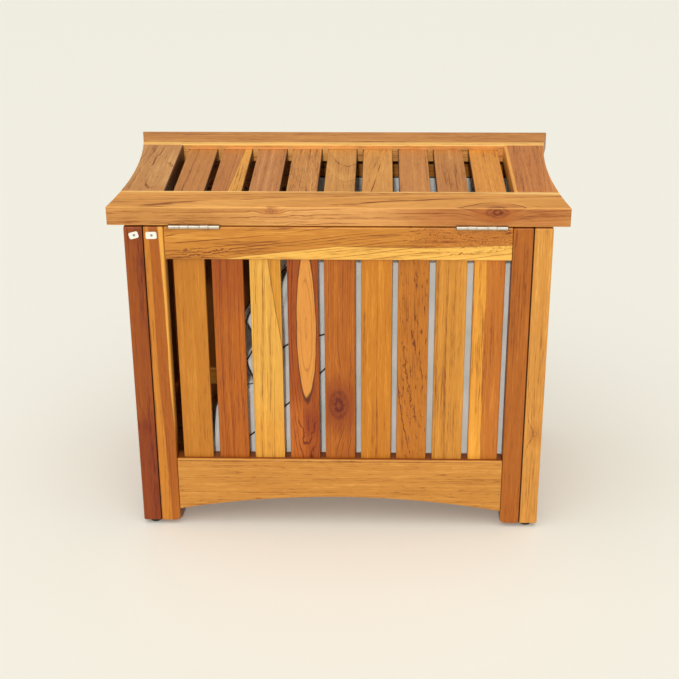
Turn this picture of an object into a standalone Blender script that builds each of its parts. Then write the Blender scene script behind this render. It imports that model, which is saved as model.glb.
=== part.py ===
"""Teak shower stool: a slatted storage box on four legs under a hinged, slatted seat.

Metres, +Z up. The origin is on the floor, in the middle of the object's box.
The back of the stool, where the two hinges are, faces -Y.
"""

import math

import bmesh
import bpy
from mathutils import Matrix, Vector

# Seat lid
SEAT_HEIGHT = 0.488
LID_LENGTH = 0.611
LID_DEPTH = 0.334
LID_THICKNESS = 0.026
LID_RAIL_WIDTH = 0.064
LID_END_HOLLOW = 0.0163
LID_EDGE_RADIUS = 0.0014
LID_JOINT_EASE = 0.0012
LID_TENON_SETBACK = 0.028
SEAT_OPENING = 0.472
SEAT_SLAT_WIDTH = 0.043
SEAT_RECESS = 0.0075

# Storage box
BODY_LENGTH = 0.568
FRONT_OVERHANG = 0.020
LID_GAP = 0.002
POST_WIDTH = 0.0255
POST_DEPTH = 0.0275
STILE_WIDTH = 0.0275
FRAME_THICKNESS = 0.024
SIDE_RAIL_THICKNESS = 0.0225
TOP_RAIL_HEIGHT = 0.046
BOTTOM_RAIL_TOP = 0.1086
BOTTOM_RAIL_END = 0.0258
LONG_ARCH_RISE = 0.0214
SIDE_ARCH_RISE = 0.012
PANEL_SLAT_WIDTH = 0.042
SLAT_THICKNESS = 0.011
SLAT_EDGE_RADIUS = 0.002
LONG_SLATS = 9
SIDE_SLATS = 5
SLAT_DRIFTS = (0.0015, 0.0024, 0.0026, 0.0024, 0.0018, 0.0013, 0.0005, 0.0005, 0.0008)
STILE_FOOT_RADIUS = 0.0065
POST_EASE = 0.0022
STILE_EASE = 0.0020

# Floor of the box
FLOOR_SLATS = 5
FLOOR_SLAT_WIDTH = 0.042
LEDGER_WIDTH = 0.018
LEDGER_HEIGHT = 0.020
LEDGER_TOP = 0.076
LEDGER_EASE = 0.001
BATTEN_WIDTH = 0.030
BATTEN_X = 0.130

# Joinery
CLEARANCE = 0.0003
SLAT_TONGUE = 0.010
TENON_LENGTH = 0.013
TENON_THICKNESS = 0.009
TENON_SHOULDER = 0.008
EASE = 0.0016

# Shape of curves and cutters
SHARP_ANGLE = 50
LID_ARC_STEPS = 12
RAIL_ARC_STEPS = 14
FOOT_ARC_STEPS = 4
TURNED_FACETS = 16
BOLT_FACETS = 12
HOLE_FACETS = 10
CUT_OVERSHOOT = 0.010
WELD = 0.00001

# Hardware
HINGE_LENGTH = 0.067
HINGE_CENTRE_X = 0.1896
HINGE_LEAF = 0.0012
HINGE_LEAF_DEPTH = 0.020
KNUCKLE_RADIUS = 0.0025
KNUCKLE_WIDE = 0.0140
KNUCKLE_NARROW = 0.0110
KNUCKLE_GAP = 0.00075
KNUCKLE_FACETS = 16
LEAF_FACE = 0.00244
LEAF_START = 0.0008
LEAF_END_STEP = 0.0002
PIN_RADIUS = 0.00105
PIN_BUTTON_RADIUS = 0.0022
PIN_BUTTON = 0.0010
PIN_BUTTON_EDGE = 0.0006
PIN_CROWN = 0.0002
PIN_SETBACK = 0.003
LEAF_MORTISE = 0.0018
GLIDE_HEIGHT = 0.006
GLIDE_RADIUS = 0.009
GLIDE_INSET = 0.0028
GLIDE_FOOT_CHAMFER = 0.0014
GLIDE_TOP_CHAMFER = 0.0006
GLIDE_NAIL_RADIUS = 0.0011
GLIDE_NAIL_LENGTH = 0.012
GLIDE_NAIL_POINT = 0.0025
GLIDE_HOLE_RADIUS = 0.0014
GLIDE_HOLE_TOP = 0.019
BUMPER_RADIUS = 0.005
BUMPER_TOP_CHAMFER = 0.001
BUMPER_RIM = 0.0004
BUMPER_X = 0.180
BOLT_RADIUS = 0.003
BOLT_HEAD_RADIUS = 0.0062
BOLT_HEAD = 0.004
BOLT_REACH = 0.030
BOLT_HEAD_SUNK = 0.0012
INSERT_RADIUS = 0.005
INSERT_LENGTH = 0.016
INSERT_HOLE_MOUTH = 0.002
INSERT_HOLE_REST = 0.0015
SCREW_HEAD_RADIUS = 0.0028
SCREW_RADIUS = 0.0013
SCREW_LENGTH = 0.015
SCREW_MOUTH = 0.003
SCREW_SPACING = 0.024
SCREW_OUTER_DEPTH = 0.0095
SCREW_MIDDLE_DEPTH = 0.0145
BOLT_HEIGHTS = (0.140, 0.380)

# Liner bag and labels
LINER_WALL = 0.002
LINER_TOP = 0.432
LINER_RIGHT = 0.245
LINER_LEFT_FOOT = -0.190
LINER_LEFT_TOP = -0.085
LINER_SIDE_GAP = 0.003
LINER_CORNER = 0.016
LABEL_THICKNESS = 0.0004
LABEL_DROP = 0.0118
LABEL_CORNER = 0.0022
LABEL_CORNER_STEPS = 3
POST_LABEL_SIZE = (0.0126, 0.0092)
POST_LABEL_TURN = 15
POST_LABEL_SHARE = 0.47
STILE_LABEL_SIZE = (0.0146, 0.0100)
STILE_LABEL_TURN = 1
STILE_LABEL_SHARE = 0.40

# Places that follow from the dimensions above
HINGE_STANDOUT = PIN_SETBACK + KNUCKLE_RADIUS
REAR = (HINGE_STANDOUT - LID_DEPTH) / 2
LID_FRONT = REAR + LID_DEPTH
BODY_FRONT = LID_FRONT - FRONT_OVERHANG
BODY_MIDDLE = (REAR + BODY_FRONT) / 2
LID_MIDDLE = (REAR + LID_FRONT) / 2
LID_UNDERSIDE = SEAT_HEIGHT - LID_THICKNESS
BODY_TOP = LID_UNDERSIDE - LID_GAP
BODY_END = BODY_LENGTH / 2
POST_INNER = BODY_END - POST_WIDTH
STILE_OUTER = POST_INNER - CLEARANCE
STILE_INNER = POST_INNER - STILE_WIDTH
TOP_RAIL_BOTTOM = BODY_TOP - TOP_RAIL_HEIGHT
HINGE_Y = REAR - PIN_SETBACK
HINGE_Z = (LID_UNDERSIDE + BODY_TOP) / 2
FLOOR_TOP = LEDGER_TOP + CLEARANCE + SLAT_THICKNESS

BOARD = {"XY": (0, 1, 2), "XZ": (0, 2, 1), "YZ": (1, 2, 0)}


def srgb(red, green, blue):
    """Turn an 8-bit display colour into the linear one that a shader takes."""
    def linear(value):
        value /= 255
        return value / 12.92 if value <= 0.04045 else ((value + 0.055) / 1.055) ** 2.4
    return (linear(red), linear(green), linear(blue), 1.0)


HONEY = srgb(208, 140, 62)
GOLD = srgb(218, 150, 76)
PALE = srgb(236, 176, 88)
TAN = srgb(196, 134, 84)
RUSSET = srgb(186, 104, 50)
UMBER = srgb(158, 80, 38)
SEAT_TONES = (TAN, TAN, TAN, GOLD, TAN, GOLD, TAN, RUSSET, GOLD)
REAR_TONES = (HONEY, RUSSET, PALE, RUSSET, RUSSET, GOLD, RUSSET, GOLD, HONEY)


def make_collection(name):
    """Return a new collection under the scene's own."""
    collection = bpy.data.collections.new(name)
    bpy.context.scene.collection.children.link(collection)
    return collection


def make_material(name, colour, roughness, metallic=0.0):
    """Return a Principled material of one colour."""
    material = bpy.data.materials.new(name)
    material.use_nodes = True
    shader = material.node_tree.nodes["Principled BSDF"]
    shader.inputs["Base Color"].default_value = colour
    shader.inputs["Roughness"].default_value = roughness
    shader.inputs["Metallic"].default_value = metallic
    return material


def add_part(name, mesh, material, parent=None):
    """Place a mesh given in world coordinates as a part, with its origin in its middle."""
    low = Vector([min(v.co[axis] for v in mesh.vertices) for axis in range(3)])
    high = Vector([max(v.co[axis] for v in mesh.vertices) for axis in range(3)])
    centre = (low + high) / 2
    mesh.transform(Matrix.Translation(-centre))
    mesh.materials.append(material)
    part = bpy.data.objects.new(name, mesh)
    parts.objects.link(part)
    part.location = centre
    if parent:
        part.parent = parent
        part.location = centre - parent.location
    return part


def add_wood(name, mesh, tone, parent=None):
    """Place a board with an oiled-wood material of its own tone."""
    return add_part(name, mesh, make_material(name + "_teak", tone, 0.5), parent)


def add_cutter(name, mesh):
    """Place a mesh that only cuts or extends other parts."""
    cutter = bpy.data.objects.new(name, mesh)
    cutters.objects.link(cutter)
    cutter.hide_render = True
    cutter.display_type = "WIRE"
    return cutter


def combine(part, cutter, operation="DIFFERENCE"):
    """Cut a part with a cutter, or join or intersect the two."""
    modifier = part.modifiers.new(cutter.name, "BOOLEAN")
    modifier.operation = operation
    modifier.object = cutter


def ease(part, width=EASE, segments=2):
    """Round the square edges of a part."""
    modifier = part.modifiers.new("eased_edges", "BEVEL")
    modifier.width = width
    modifier.segments = segments
    modifier.limit_method = "ANGLE"
    modifier.angle_limit = math.radians(SHARP_ANGLE)


def evaluated_mesh(holder):
    """Return what a holder's modifiers or curve make, and remove the holder."""
    source = holder.data
    holder.data.name += "_source"
    cutters.objects.link(holder)
    bpy.context.view_layer.update()
    graph = bpy.context.evaluated_depsgraph_get()
    mesh = bpy.data.meshes.new_from_object(holder.evaluated_get(graph))
    bpy.data.objects.remove(holder)
    if isinstance(source, bpy.types.Curve):
        bpy.data.curves.remove(source)
    return mesh


def tidy_mesh(mesh):
    """Weld a curve's loose caps and merge the triangles of each flat face."""
    bm = bmesh.new()
    bm.from_mesh(mesh)
    bmesh.ops.remove_doubles(bm, verts=bm.verts, dist=WELD)
    bmesh.ops.dissolve_limit(bm, angle_limit=math.radians(0.2), verts=bm.verts, edges=bm.edges)
    bmesh.ops.recalc_face_normals(bm, faces=bm.faces)
    bm.to_mesh(mesh)
    bm.free()
    return mesh


def prism(name, plane, outline, low, high):
    """Extrude a flat outline, drawn in a world plane, from low to high along the third axis."""
    curve = bpy.data.curves.new(name, "CURVE")
    curve.dimensions = "2D"
    curve.fill_mode = "BOTH"
    curve.extrude = (high - low) / 2
    spline = curve.splines.new("POLY")
    spline.points.add(len(outline) - 1)
    for point, (across, along) in zip(spline.points, outline):
        point.co = (across, along, 0, 1)
    spline.use_cyclic_u = True
    mesh = tidy_mesh(evaluated_mesh(bpy.data.objects.new(name, curve)))
    first, second, third = BOARD[plane]
    turn = Matrix.Identity(4)
    for axis in range(3):
        turn[axis] = (0, 0, 0, 0)
    turn[first][0] = 1
    turn[second][1] = 1
    turn[third][2] = -1 if plane == "XZ" else 1
    turn[third][3] = (low + high) / 2
    mesh.transform(turn)
    return mesh


def boxes(name, corners):
    """Return one mesh of separate boxes, each given by its low and high corner."""
    bm = bmesh.new()
    for low, high in corners:
        low, high = Vector(low), Vector(high)
        bmesh.ops.create_cube(bm, size=1.0, matrix=Matrix.LocRotScale((low + high) / 2, None, high - low))
    mesh = bpy.data.meshes.new(name)
    bm.to_mesh(mesh)
    bm.free()
    return mesh


def slats(name, corners, axis, radius=SLAT_EDGE_RADIUS):
    """Return one mesh of separate boards whose edges along one axis are rounded."""
    mesh = boxes(name, corners)
    bm = bmesh.new()
    bm.from_mesh(mesh)
    long_edges = [
        edge for edge in bm.edges
        if abs((edge.verts[0].co - edge.verts[1].co).normalized()[axis]) > 0.99
    ]
    bmesh.ops.bevel(bm, geom=long_edges, offset=radius, segments=2, profile=0.5, affect="EDGES")
    bm.to_mesh(mesh)
    bm.free()
    return mesh


def grown(corners):
    """Return boxes made larger all round by the clearance of a joint."""
    margin = Vector((CLEARANCE, CLEARANCE, CLEARANCE))
    return [(Vector(low) - margin, Vector(high) + margin) for low, high in corners]


def turned(name, profile, steps=TURNED_FACETS):
    """Turn a profile of (radius, height) points, listed top to bottom, about Z."""
    source = bpy.data.meshes.new(name)
    points = [(radius, 0, height) for radius, height in profile]
    source.from_pydata(points, [(i, i + 1) for i in range(len(points) - 1)], [])
    holder = bpy.data.objects.new(name, source)
    screw = holder.modifiers.new("turn", "SCREW")
    screw.steps = steps
    screw.render_steps = steps
    screw.use_merge_vertices = True
    screw.merge_threshold = WELD
    return evaluated_mesh(holder)


def copies(name, mesh, matrices):
    """Return one mesh of separate copies of another."""
    bm = bmesh.new()
    for matrix in matrices:
        copy = mesh.copy()
        copy.transform(matrix)
        bm.from_mesh(copy)
        bpy.data.meshes.remove(copy)
    group = bpy.data.meshes.new(name)
    bm.to_mesh(group)
    bm.free()
    return group


def aimed(place, direction):
    """Return the matrix that moves a shape to a place and turns its +Z to a direction."""
    turn = Vector(direction).to_track_quat("Z", "Y").to_matrix().to_4x4()
    return Matrix.Translation(place) @ turn


def cylinders(name, radius, spans, segments):
    """Return one mesh of separate cylinders, each given by the middles of its two ends."""
    bm = bmesh.new()
    for start, end in spans:
        start, end = Vector(start), Vector(end)
        bmesh.ops.create_cone(
            bm, cap_ends=True, segments=segments, radius1=radius, radius2=radius,
            depth=(end - start).length, matrix=aimed((start + end) / 2, end - start))
    mesh = bpy.data.meshes.new(name)
    bm.to_mesh(mesh)
    bm.free()
    return mesh


def row(count, width, low, high):
    """Return the low and high edge of each of a row of equal boards with equal gaps."""
    gap = (high - low - count * width) / (count + 1)
    starts = [low + gap + index * (width + gap) for index in range(count)]
    return [(start, start + width) for start in starts]


def arc(centre, radius, start, end, steps):
    """Return points along an arc, with angles in degrees."""
    angles = [math.radians(start + (end - start) * step / steps) for step in range(steps + 1)]
    return [(centre[0] + radius * math.cos(a), centre[1] + radius * math.sin(a)) for a in angles]


def mirrored(corners):
    """Return boxes mirrored to the other side of X = 0."""
    return [((-high[0], low[1], low[2]), (-low[0], high[1], high[2])) for low, high in corners]


# Seat lid ------------------------------------------------------------------------

def lid_slab():
    """Return the whole lid's slab, with hollow ends and rounded edges, for its boards."""
    half = LID_DEPTH / 2
    radius = (half ** 2 + LID_END_HOLLOW ** 2) / (2 * LID_END_HOLLOW)
    sweep = math.degrees(math.asin(half / radius))
    centre = LID_LENGTH / 2 - LID_END_HOLLOW + radius
    right = arc((centre, LID_MIDDLE), radius, 180 + sweep, 180 - sweep, LID_ARC_STEPS)
    left = [(-across, along) for across, along in reversed(right)]
    mesh = prism("lid_slab", "XY", right + left, LID_UNDERSIDE, SEAT_HEIGHT)
    bm = bmesh.new()
    bm.from_mesh(mesh)
    sharp = [edge for edge in bm.edges if edge.calc_face_angle() > math.radians(SHARP_ANGLE)]
    bmesh.ops.bevel(bm, geom=sharp, offset=LID_EDGE_RADIUS, segments=3, profile=0.5, affect="EDGES")
    bm.to_mesh(mesh)
    bm.free()
    return mesh


def build_lid(pivot):
    """Build the lid's two rails, two end boards and nine seat slats."""
    slab = lid_slab()
    rail_inner = (REAR + LID_RAIL_WIDTH, LID_FRONT - LID_RAIL_WIDTH)
    reach = LID_LENGTH
    tongue_z = (SEAT_HEIGHT - SEAT_RECESS - SLAT_THICKNESS, SEAT_HEIGHT - SEAT_RECESS)
    seat_row = row(LONG_SLATS, SEAT_SLAT_WIDTH, -SEAT_OPENING / 2, SEAT_OPENING / 2)
    slat_boxes = [
        ((left, rail_inner[0] - SLAT_TONGUE, tongue_z[0]), (right, rail_inner[1] + SLAT_TONGUE, tongue_z[1]))
        for left, right in seat_row
    ]
    end_middle = LID_UNDERSIDE + LID_THICKNESS / 2
    tenon = [(
        (SEAT_OPENING / 2 + TENON_SHOULDER, rail_inner[0] - TENON_LENGTH, end_middle - TENON_THICKNESS / 2),
        (LID_LENGTH / 2 - LID_TENON_SETBACK, rail_inner[1] + TENON_LENGTH, end_middle + TENON_THICKNESS / 2),
    )]
    mortises = add_cutter("lid_mortises", boxes("lid_mortises", grown(slat_boxes + tenon + mirrored(tenon))))

    regions = {
        "lid_rear_rail": (-reach, REAR - reach, reach, rail_inner[0]),
        "lid_front_rail": (-reach, rail_inner[1], reach, LID_FRONT + reach),
    }
    for name, (left, rear, right, front) in regions.items():
        region = boxes(name + "_region", [((left, rear, 0), (right, front, 1))])
        rail = add_wood(name, slab.copy(), GOLD, pivot)
        combine(rail, add_cutter(name + "_region", region), "INTERSECT")
        ease(rail, LID_JOINT_EASE, 1)
        combine(rail, mortises)

    for name, side, tone in (("lid_end_left", -1, TAN), ("lid_end_right", 1, RUSSET)):
        across = sorted((side * SEAT_OPENING / 2, side * reach))
        region = boxes(name + "_region", [(
            (across[0], rail_inner[0] + CLEARANCE, 0), (across[1], rail_inner[1] - CLEARANCE, 1))])
        end = add_wood(name, slab.copy(), tone, pivot)
        combine(end, add_cutter(name + "_region", region), "INTERSECT")
        ease(end, LID_JOINT_EASE, 1)
        tenons = boxes(name + "_tenons", tenon if side > 0 else mirrored(tenon))
        combine(end, add_cutter(name + "_tenons", tenons), "UNION")

    for index, (corners, tone) in enumerate(zip(slat_boxes, SEAT_TONES), start=1):
        name = "seat_slat_%d" % index
        add_wood(name, slats(name, [corners], 1), tone, pivot)


# Storage box ---------------------------------------------------------------------

def build_posts():
    """Build the four corner posts, which belong to the two side frames."""
    for side_name, side in (("left", -1), ("right", 1)):
        for end_name, low_y in (("rear", REAR), ("front", BODY_FRONT - POST_DEPTH)):
            across = sorted((side * POST_INNER, side * BODY_END))
            name = "%s_%s_post" % (side_name, end_name)
            tone = UMBER if side < 0 else GOLD
            corners = [((across[0], low_y, GLIDE_HEIGHT), (across[1], low_y + POST_DEPTH, BODY_TOP))]
            post = add_wood(name, boxes(name, corners), tone)
            ease(post, POST_EASE)
            combine(post, side_mortises)
            combine(post, bolt_holes)
            combine(post, glide_holes)


def arched_rail(name, plane, low, high, thickness, rise):
    """Return a bottom rail whose lower edge is an arch, as one board."""
    half = (high - low) / 2
    radius = (half ** 2 + rise ** 2) / (2 * rise)
    sweep = math.degrees(math.asin(half / radius))
    centre = ((low + high) / 2, BOTTOM_RAIL_END + rise - radius)
    arch = arc(centre, radius, 90 - sweep, 90 + sweep, RAIL_ARC_STEPS)
    outline = [(low, BOTTOM_RAIL_TOP), (high, BOTTOM_RAIL_TOP)] + arch
    return prism(name, plane, outline, *thickness)


def stile_outline(inner, outer):
    """Return a stile's front outline, with a rounded inner corner at its foot."""
    side = 1 if outer > inner else -1
    centre = (side * inner + STILE_FOOT_RADIUS, GLIDE_HEIGHT + STILE_FOOT_RADIUS)
    foot = arc(centre, STILE_FOOT_RADIUS, 180, 270, FOOT_ARC_STEPS)
    outline = foot + [(side * outer, GLIDE_HEIGHT), (side * outer, BODY_TOP), (side * inner, BODY_TOP)]
    return [(side * across, up) for across, up in outline]


def rail_tenons(heights, low_y, high_y, shoulder, along_x):
    """Return the tenons of a top and a bottom rail, on both ends, as boxes."""
    middle = (low_y + high_y) / 2
    found = []
    for bottom, top in heights:
        for start, end in ((-shoulder[1] - TENON_LENGTH, -shoulder[1] + EASE),
                           (shoulder[1] - EASE, shoulder[1] + TENON_LENGTH)):
            start += shoulder[0]
            end += shoulder[0]
            thin = (middle - TENON_THICKNESS / 2, middle + TENON_THICKNESS / 2)
            low = (start, thin[0], bottom) if along_x else (thin[0], start, bottom)
            high = (end, thin[1], top) if along_x else (thin[1], end, top)
            found.append((low, high))
    return found


TENON_HEIGHTS = (
    (TOP_RAIL_BOTTOM + TENON_SHOULDER, BODY_TOP - TENON_SHOULDER),
    (BOTTOM_RAIL_END + 2 * TENON_SHOULDER, BOTTOM_RAIL_TOP - TENON_SHOULDER),
)


def build_long_frame(name, low_y, tones, stile_tones, rail_tones, panelled):
    """Build the rear or front frame: two stiles, two rails and nine slats."""
    high_y = low_y + FRAME_THICKNESS
    middle = (low_y + high_y) / 2
    shoulder = STILE_INNER - CLEARANCE
    tenons = rail_tenons(TENON_HEIGHTS, low_y, high_y, (0, shoulder), True)
    stile_mortises = add_cutter(name + "_stile_mortises", boxes(name + "_stile_mortises", grown(tenons)))

    for side_name, side, tone in (("left", -1, stile_tones[0]), ("right", 1, stile_tones[1])):
        stile_name = "%s_stile_%s" % (name, side_name)
        outline = stile_outline(side * STILE_INNER, side * STILE_OUTER)
        stile = add_wood(stile_name, prism(stile_name, "XZ", outline, low_y, high_y), tone)
        ease(stile, STILE_EASE)
        combine(stile, stile_mortises)
        combine(stile, insert_holes)

    slat_y = (middle - SLAT_THICKNESS / 2, middle + SLAT_THICKNESS / 2)
    slat_row = row(LONG_SLATS, PANEL_SLAT_WIDTH, -STILE_INNER, STILE_INNER)
    drifts = [0.0] * LONG_SLATS if panelled else SLAT_DRIFTS
    slat_boxes = [
        ((left + drift, slat_y[0], BOTTOM_RAIL_TOP - SLAT_TONGUE),
         (right + drift, slat_y[1], TOP_RAIL_BOTTOM + SLAT_TONGUE))
        for (left, right), drift in zip(slat_row, drifts)
    ]

    top_name = name + "_top_rail"
    top_box = [((-shoulder, low_y, TOP_RAIL_BOTTOM), (shoulder, high_y, BODY_TOP))]
    top = add_wood(top_name, boxes(top_name, top_box), rail_tones[0])
    bottom_name = name + "_bottom_rail"
    board = arched_rail(bottom_name, "XZ", -shoulder, shoulder, (low_y, high_y), LONG_ARCH_RISE)
    bottom = add_wood(bottom_name, board, rail_tones[1])
    for rail, chosen in ((top, tenons[:2]), (bottom, tenons[2:])):
        ease(rail)
        combine(rail, add_cutter(rail.name + "_tenons", boxes(rail.name + "_tenons", chosen)), "UNION")

    if panelled:
        fillets = [((slat_boxes[0][0][0], low[1], low[2]), (slat_boxes[-1][1][0], high[1], high[2]))
                   for low, high in fillet_heights(slat_boxes[0])]
        slat_panel(name + "_slat_panel", slat_boxes, fillets, tones[0], (top, bottom))
        return top
    slat_mortises = add_cutter(name + "_slat_mortises", boxes(name + "_slat_mortises", grown(slat_boxes)))
    combine(top, slat_mortises)
    combine(bottom, slat_mortises)
    for index, (corners, tone) in enumerate(zip(slat_boxes, tones), start=1):
        slat_name = "%s_slat_%d" % (name, index)
        add_wood(slat_name, slats(slat_name, [corners], 2), tone)
    return top


def fillet_heights(slat):
    """Return the two stretches of a slat that lie in the rails' grooves, as low and high corners."""
    low, high = slat
    bottom_top = BOTTOM_RAIL_TOP - CLEARANCE
    top_bottom = TOP_RAIL_BOTTOM + CLEARANCE
    return ((low, (*high[:2], bottom_top)), ((*low[:2], top_bottom), high))


def slat_panel(name, slat_boxes, fillets, tone, rails):
    """Build a row of slats as one panel, joined by the fillets that space them in the rails' grooves."""
    panel = add_wood(name, slats(name, slat_boxes, 2), tone)
    combine(panel, add_cutter(name + "_fillets", boxes(name + "_fillets", fillets)), "UNION")
    grooves = add_cutter(name + "_grooves", boxes(name + "_grooves", grown(fillets)))
    for rail in rails:
        combine(rail, grooves)


def side_joints():
    """Return the tenons of both side frames' rails, as boxes for each side."""
    half = (BODY_FRONT - REAR) / 2 - POST_DEPTH - CLEARANCE
    right = rail_tenons(TENON_HEIGHTS, POST_INNER, POST_INNER + SIDE_RAIL_THICKNESS, (BODY_MIDDLE, half), False)
    return mirrored(right), right


def build_side_frame(name, side, tone, tenons):
    """Build a side frame's two rails and five slats."""
    across = sorted((side * POST_INNER, side * (POST_INNER + SIDE_RAIL_THICKNESS)))
    middle = sum(across) / 2
    rear = REAR + POST_DEPTH + CLEARANCE
    front = BODY_FRONT - POST_DEPTH - CLEARANCE
    slat_row = row(SIDE_SLATS, PANEL_SLAT_WIDTH, rear, front)
    slat_boxes = [
        ((middle - SLAT_THICKNESS / 2, low, BOTTOM_RAIL_TOP - SLAT_TONGUE),
         (middle + SLAT_THICKNESS / 2, high, TOP_RAIL_BOTTOM + SLAT_TONGUE))
        for low, high in slat_row
    ]
    top_name = name + "_top_rail"
    top_box = [((across[0], rear, TOP_RAIL_BOTTOM), (across[1], front, BODY_TOP))]
    top = add_wood(top_name, boxes(top_name, top_box), tone)
    bottom_name = name + "_bottom_rail"
    bottom = add_wood(bottom_name, arched_rail(bottom_name, "YZ", rear, front, across, SIDE_ARCH_RISE), tone)
    for rail, chosen in ((top, tenons[:2]), (bottom, tenons[2:])):
        ease(rail)
        combine(rail, add_cutter(rail.name + "_tenons", boxes(rail.name + "_tenons", chosen)), "UNION")
    fillets = [((low[0], slat_boxes[0][0][1], low[2]), (high[0], slat_boxes[-1][1][1], high[2]))
               for low, high in fillet_heights(slat_boxes[0])]
    slat_panel(name + "_slat_panel", slat_boxes, fillets, HONEY, (top, bottom))


def build_floor():
    """Build the box's floor: a ledger on each side frame and a panel of slats on two battens."""
    rear = REAR + FRAME_THICKNESS + CLEARANCE
    front = BODY_FRONT - FRAME_THICKNESS - CLEARANCE
    outer = POST_INNER - CLEARANCE
    for name, side in (("left_ledger", -1), ("right_ledger", 1)):
        across = sorted((side * outer, side * (outer - LEDGER_WIDTH)))
        corners = [((across[0], rear, LEDGER_TOP - LEDGER_HEIGHT), (across[1], front, LEDGER_TOP))]
        ledger = add_wood(name, boxes(name, corners), RUSSET)
        ease(ledger, LEDGER_EASE, 1)
    floor_row = row(FLOOR_SLATS, FLOOR_SLAT_WIDTH, rear, front)
    corners = [((-outer, low, LEDGER_TOP + CLEARANCE), (outer, high, FLOOR_TOP)) for low, high in floor_row]
    panel = add_wood("floor_panel", slats("floor_panel", corners, 0), HONEY)
    slat_bottom = LEDGER_TOP + CLEARANCE
    battens = [
        ((middle - BATTEN_WIDTH / 2, corners[0][0][1], slat_bottom - SLAT_THICKNESS),
         (middle + BATTEN_WIDTH / 2, corners[-1][1][1], slat_bottom + EASE))
        for middle in (-BATTEN_X, BATTEN_X)
    ]
    combine(panel, add_cutter("floor_battens", boxes("floor_battens", battens)), "UNION")


# Hardware ------------------------------------------------------------------------

def screw_hole():
    """Return a countersunk screw's hole, with its clearance, mouth up."""
    head = SCREW_HEAD_RADIUS + CLEARANCE
    shank = SCREW_RADIUS + CLEARANCE
    return turned("hinge_screw_hole", [
        (0, SCREW_MOUTH), (head + SCREW_MOUTH, SCREW_MOUTH), (head, 0), (shank, -HINGE_LEAF),
        (shank, -SCREW_LENGTH), (0, -SCREW_LENGTH - shank),
    ], HOLE_FACETS)


def hinge_screw_places(centre, upward):
    """Return where a leaf's three screws go, as matrices that aim them into the wood."""
    flat = HINGE_Z + (LEAF_FACE - HINGE_LEAF) * (1 if upward else -1)
    head_up = (0, 0, -1) if upward else (0, 0, 1)
    spots = ((-SCREW_SPACING, SCREW_OUTER_DEPTH), (0, SCREW_MIDDLE_DEPTH), (SCREW_SPACING, SCREW_OUTER_DEPTH))
    return [aimed((centre + x, HINGE_Y + y, flat), head_up) for x, y in spots]


def knuckle_spans(own):
    """Return the X spans of the fixed leaf's three knuckles, or of the lid leaf's two."""
    spans = []
    start = -HINGE_LENGTH / 2
    for index in range(5):
        width = KNUCKLE_WIDE if index % 2 == 0 else KNUCKLE_NARROW
        spans.append((start, start + width))
        start += width + KNUCKLE_GAP
    return spans[0::2] if own == "fixed" else spans[1::2]


def hinge_leaf(name, centre, upward, screw_holes, parent=None):
    """Build one leaf: a plate, its rolled knuckles and its countersunk holes."""
    side = 1 if upward else -1
    heights = sorted((HINGE_Z + side * (LEAF_FACE - HINGE_LEAF), HINGE_Z + side * LEAF_FACE))
    half = HINGE_LENGTH / 2 - LEAF_END_STEP
    corners = [(
        (centre - half, HINGE_Y + LEAF_START, heights[0]),
        (centre + half, HINGE_Y + HINGE_LEAF_DEPTH, heights[1]))]
    leaf = add_part(name, boxes(name, corners), steel, parent)

    def rods(suffix, radius, spans, margin=0.0):
        ends = [((centre + low - margin, HINGE_Y, HINGE_Z), (centre + high + margin, HINGE_Y, HINGE_Z))
                for low, high in spans]
        return add_cutter(name + suffix, cylinders(name + suffix, radius, ends, KNUCKLE_FACETS))

    own, other = ("lid", "fixed") if upward else ("fixed", "lid")
    combine(leaf, rods("_notches", KNUCKLE_RADIUS + CLEARANCE, knuckle_spans(other), CLEARANCE))
    combine(leaf, rods("_knuckles", KNUCKLE_RADIUS, knuckle_spans(own)), "UNION")
    combine(leaf, rods("_bore", PIN_RADIUS + CLEARANCE, [(-HINGE_LENGTH, HINGE_LENGTH)]))
    combine(leaf, screw_holes)


def hinge_pin(name, centre):
    """Build a hinge pin, with a low button on each end."""
    half = HINGE_LENGTH / 2
    bulge = half + CLEARANCE + PIN_BUTTON
    profile = [
        (0, bulge), (PIN_BUTTON_RADIUS * 0.7, bulge - PIN_CROWN), (PIN_BUTTON_RADIUS, bulge - PIN_BUTTON_EDGE),
        (PIN_BUTTON_RADIUS, half + CLEARANCE), (PIN_RADIUS, half + CLEARANCE),
    ]
    profile += [(radius, -height) for radius, height in reversed(profile)]
    mesh = copies(name, turned(name + "_turned", profile), [aimed((centre, HINGE_Y, HINGE_Z), (1, 0, 0))])
    add_part(name, mesh, steel)


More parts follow.
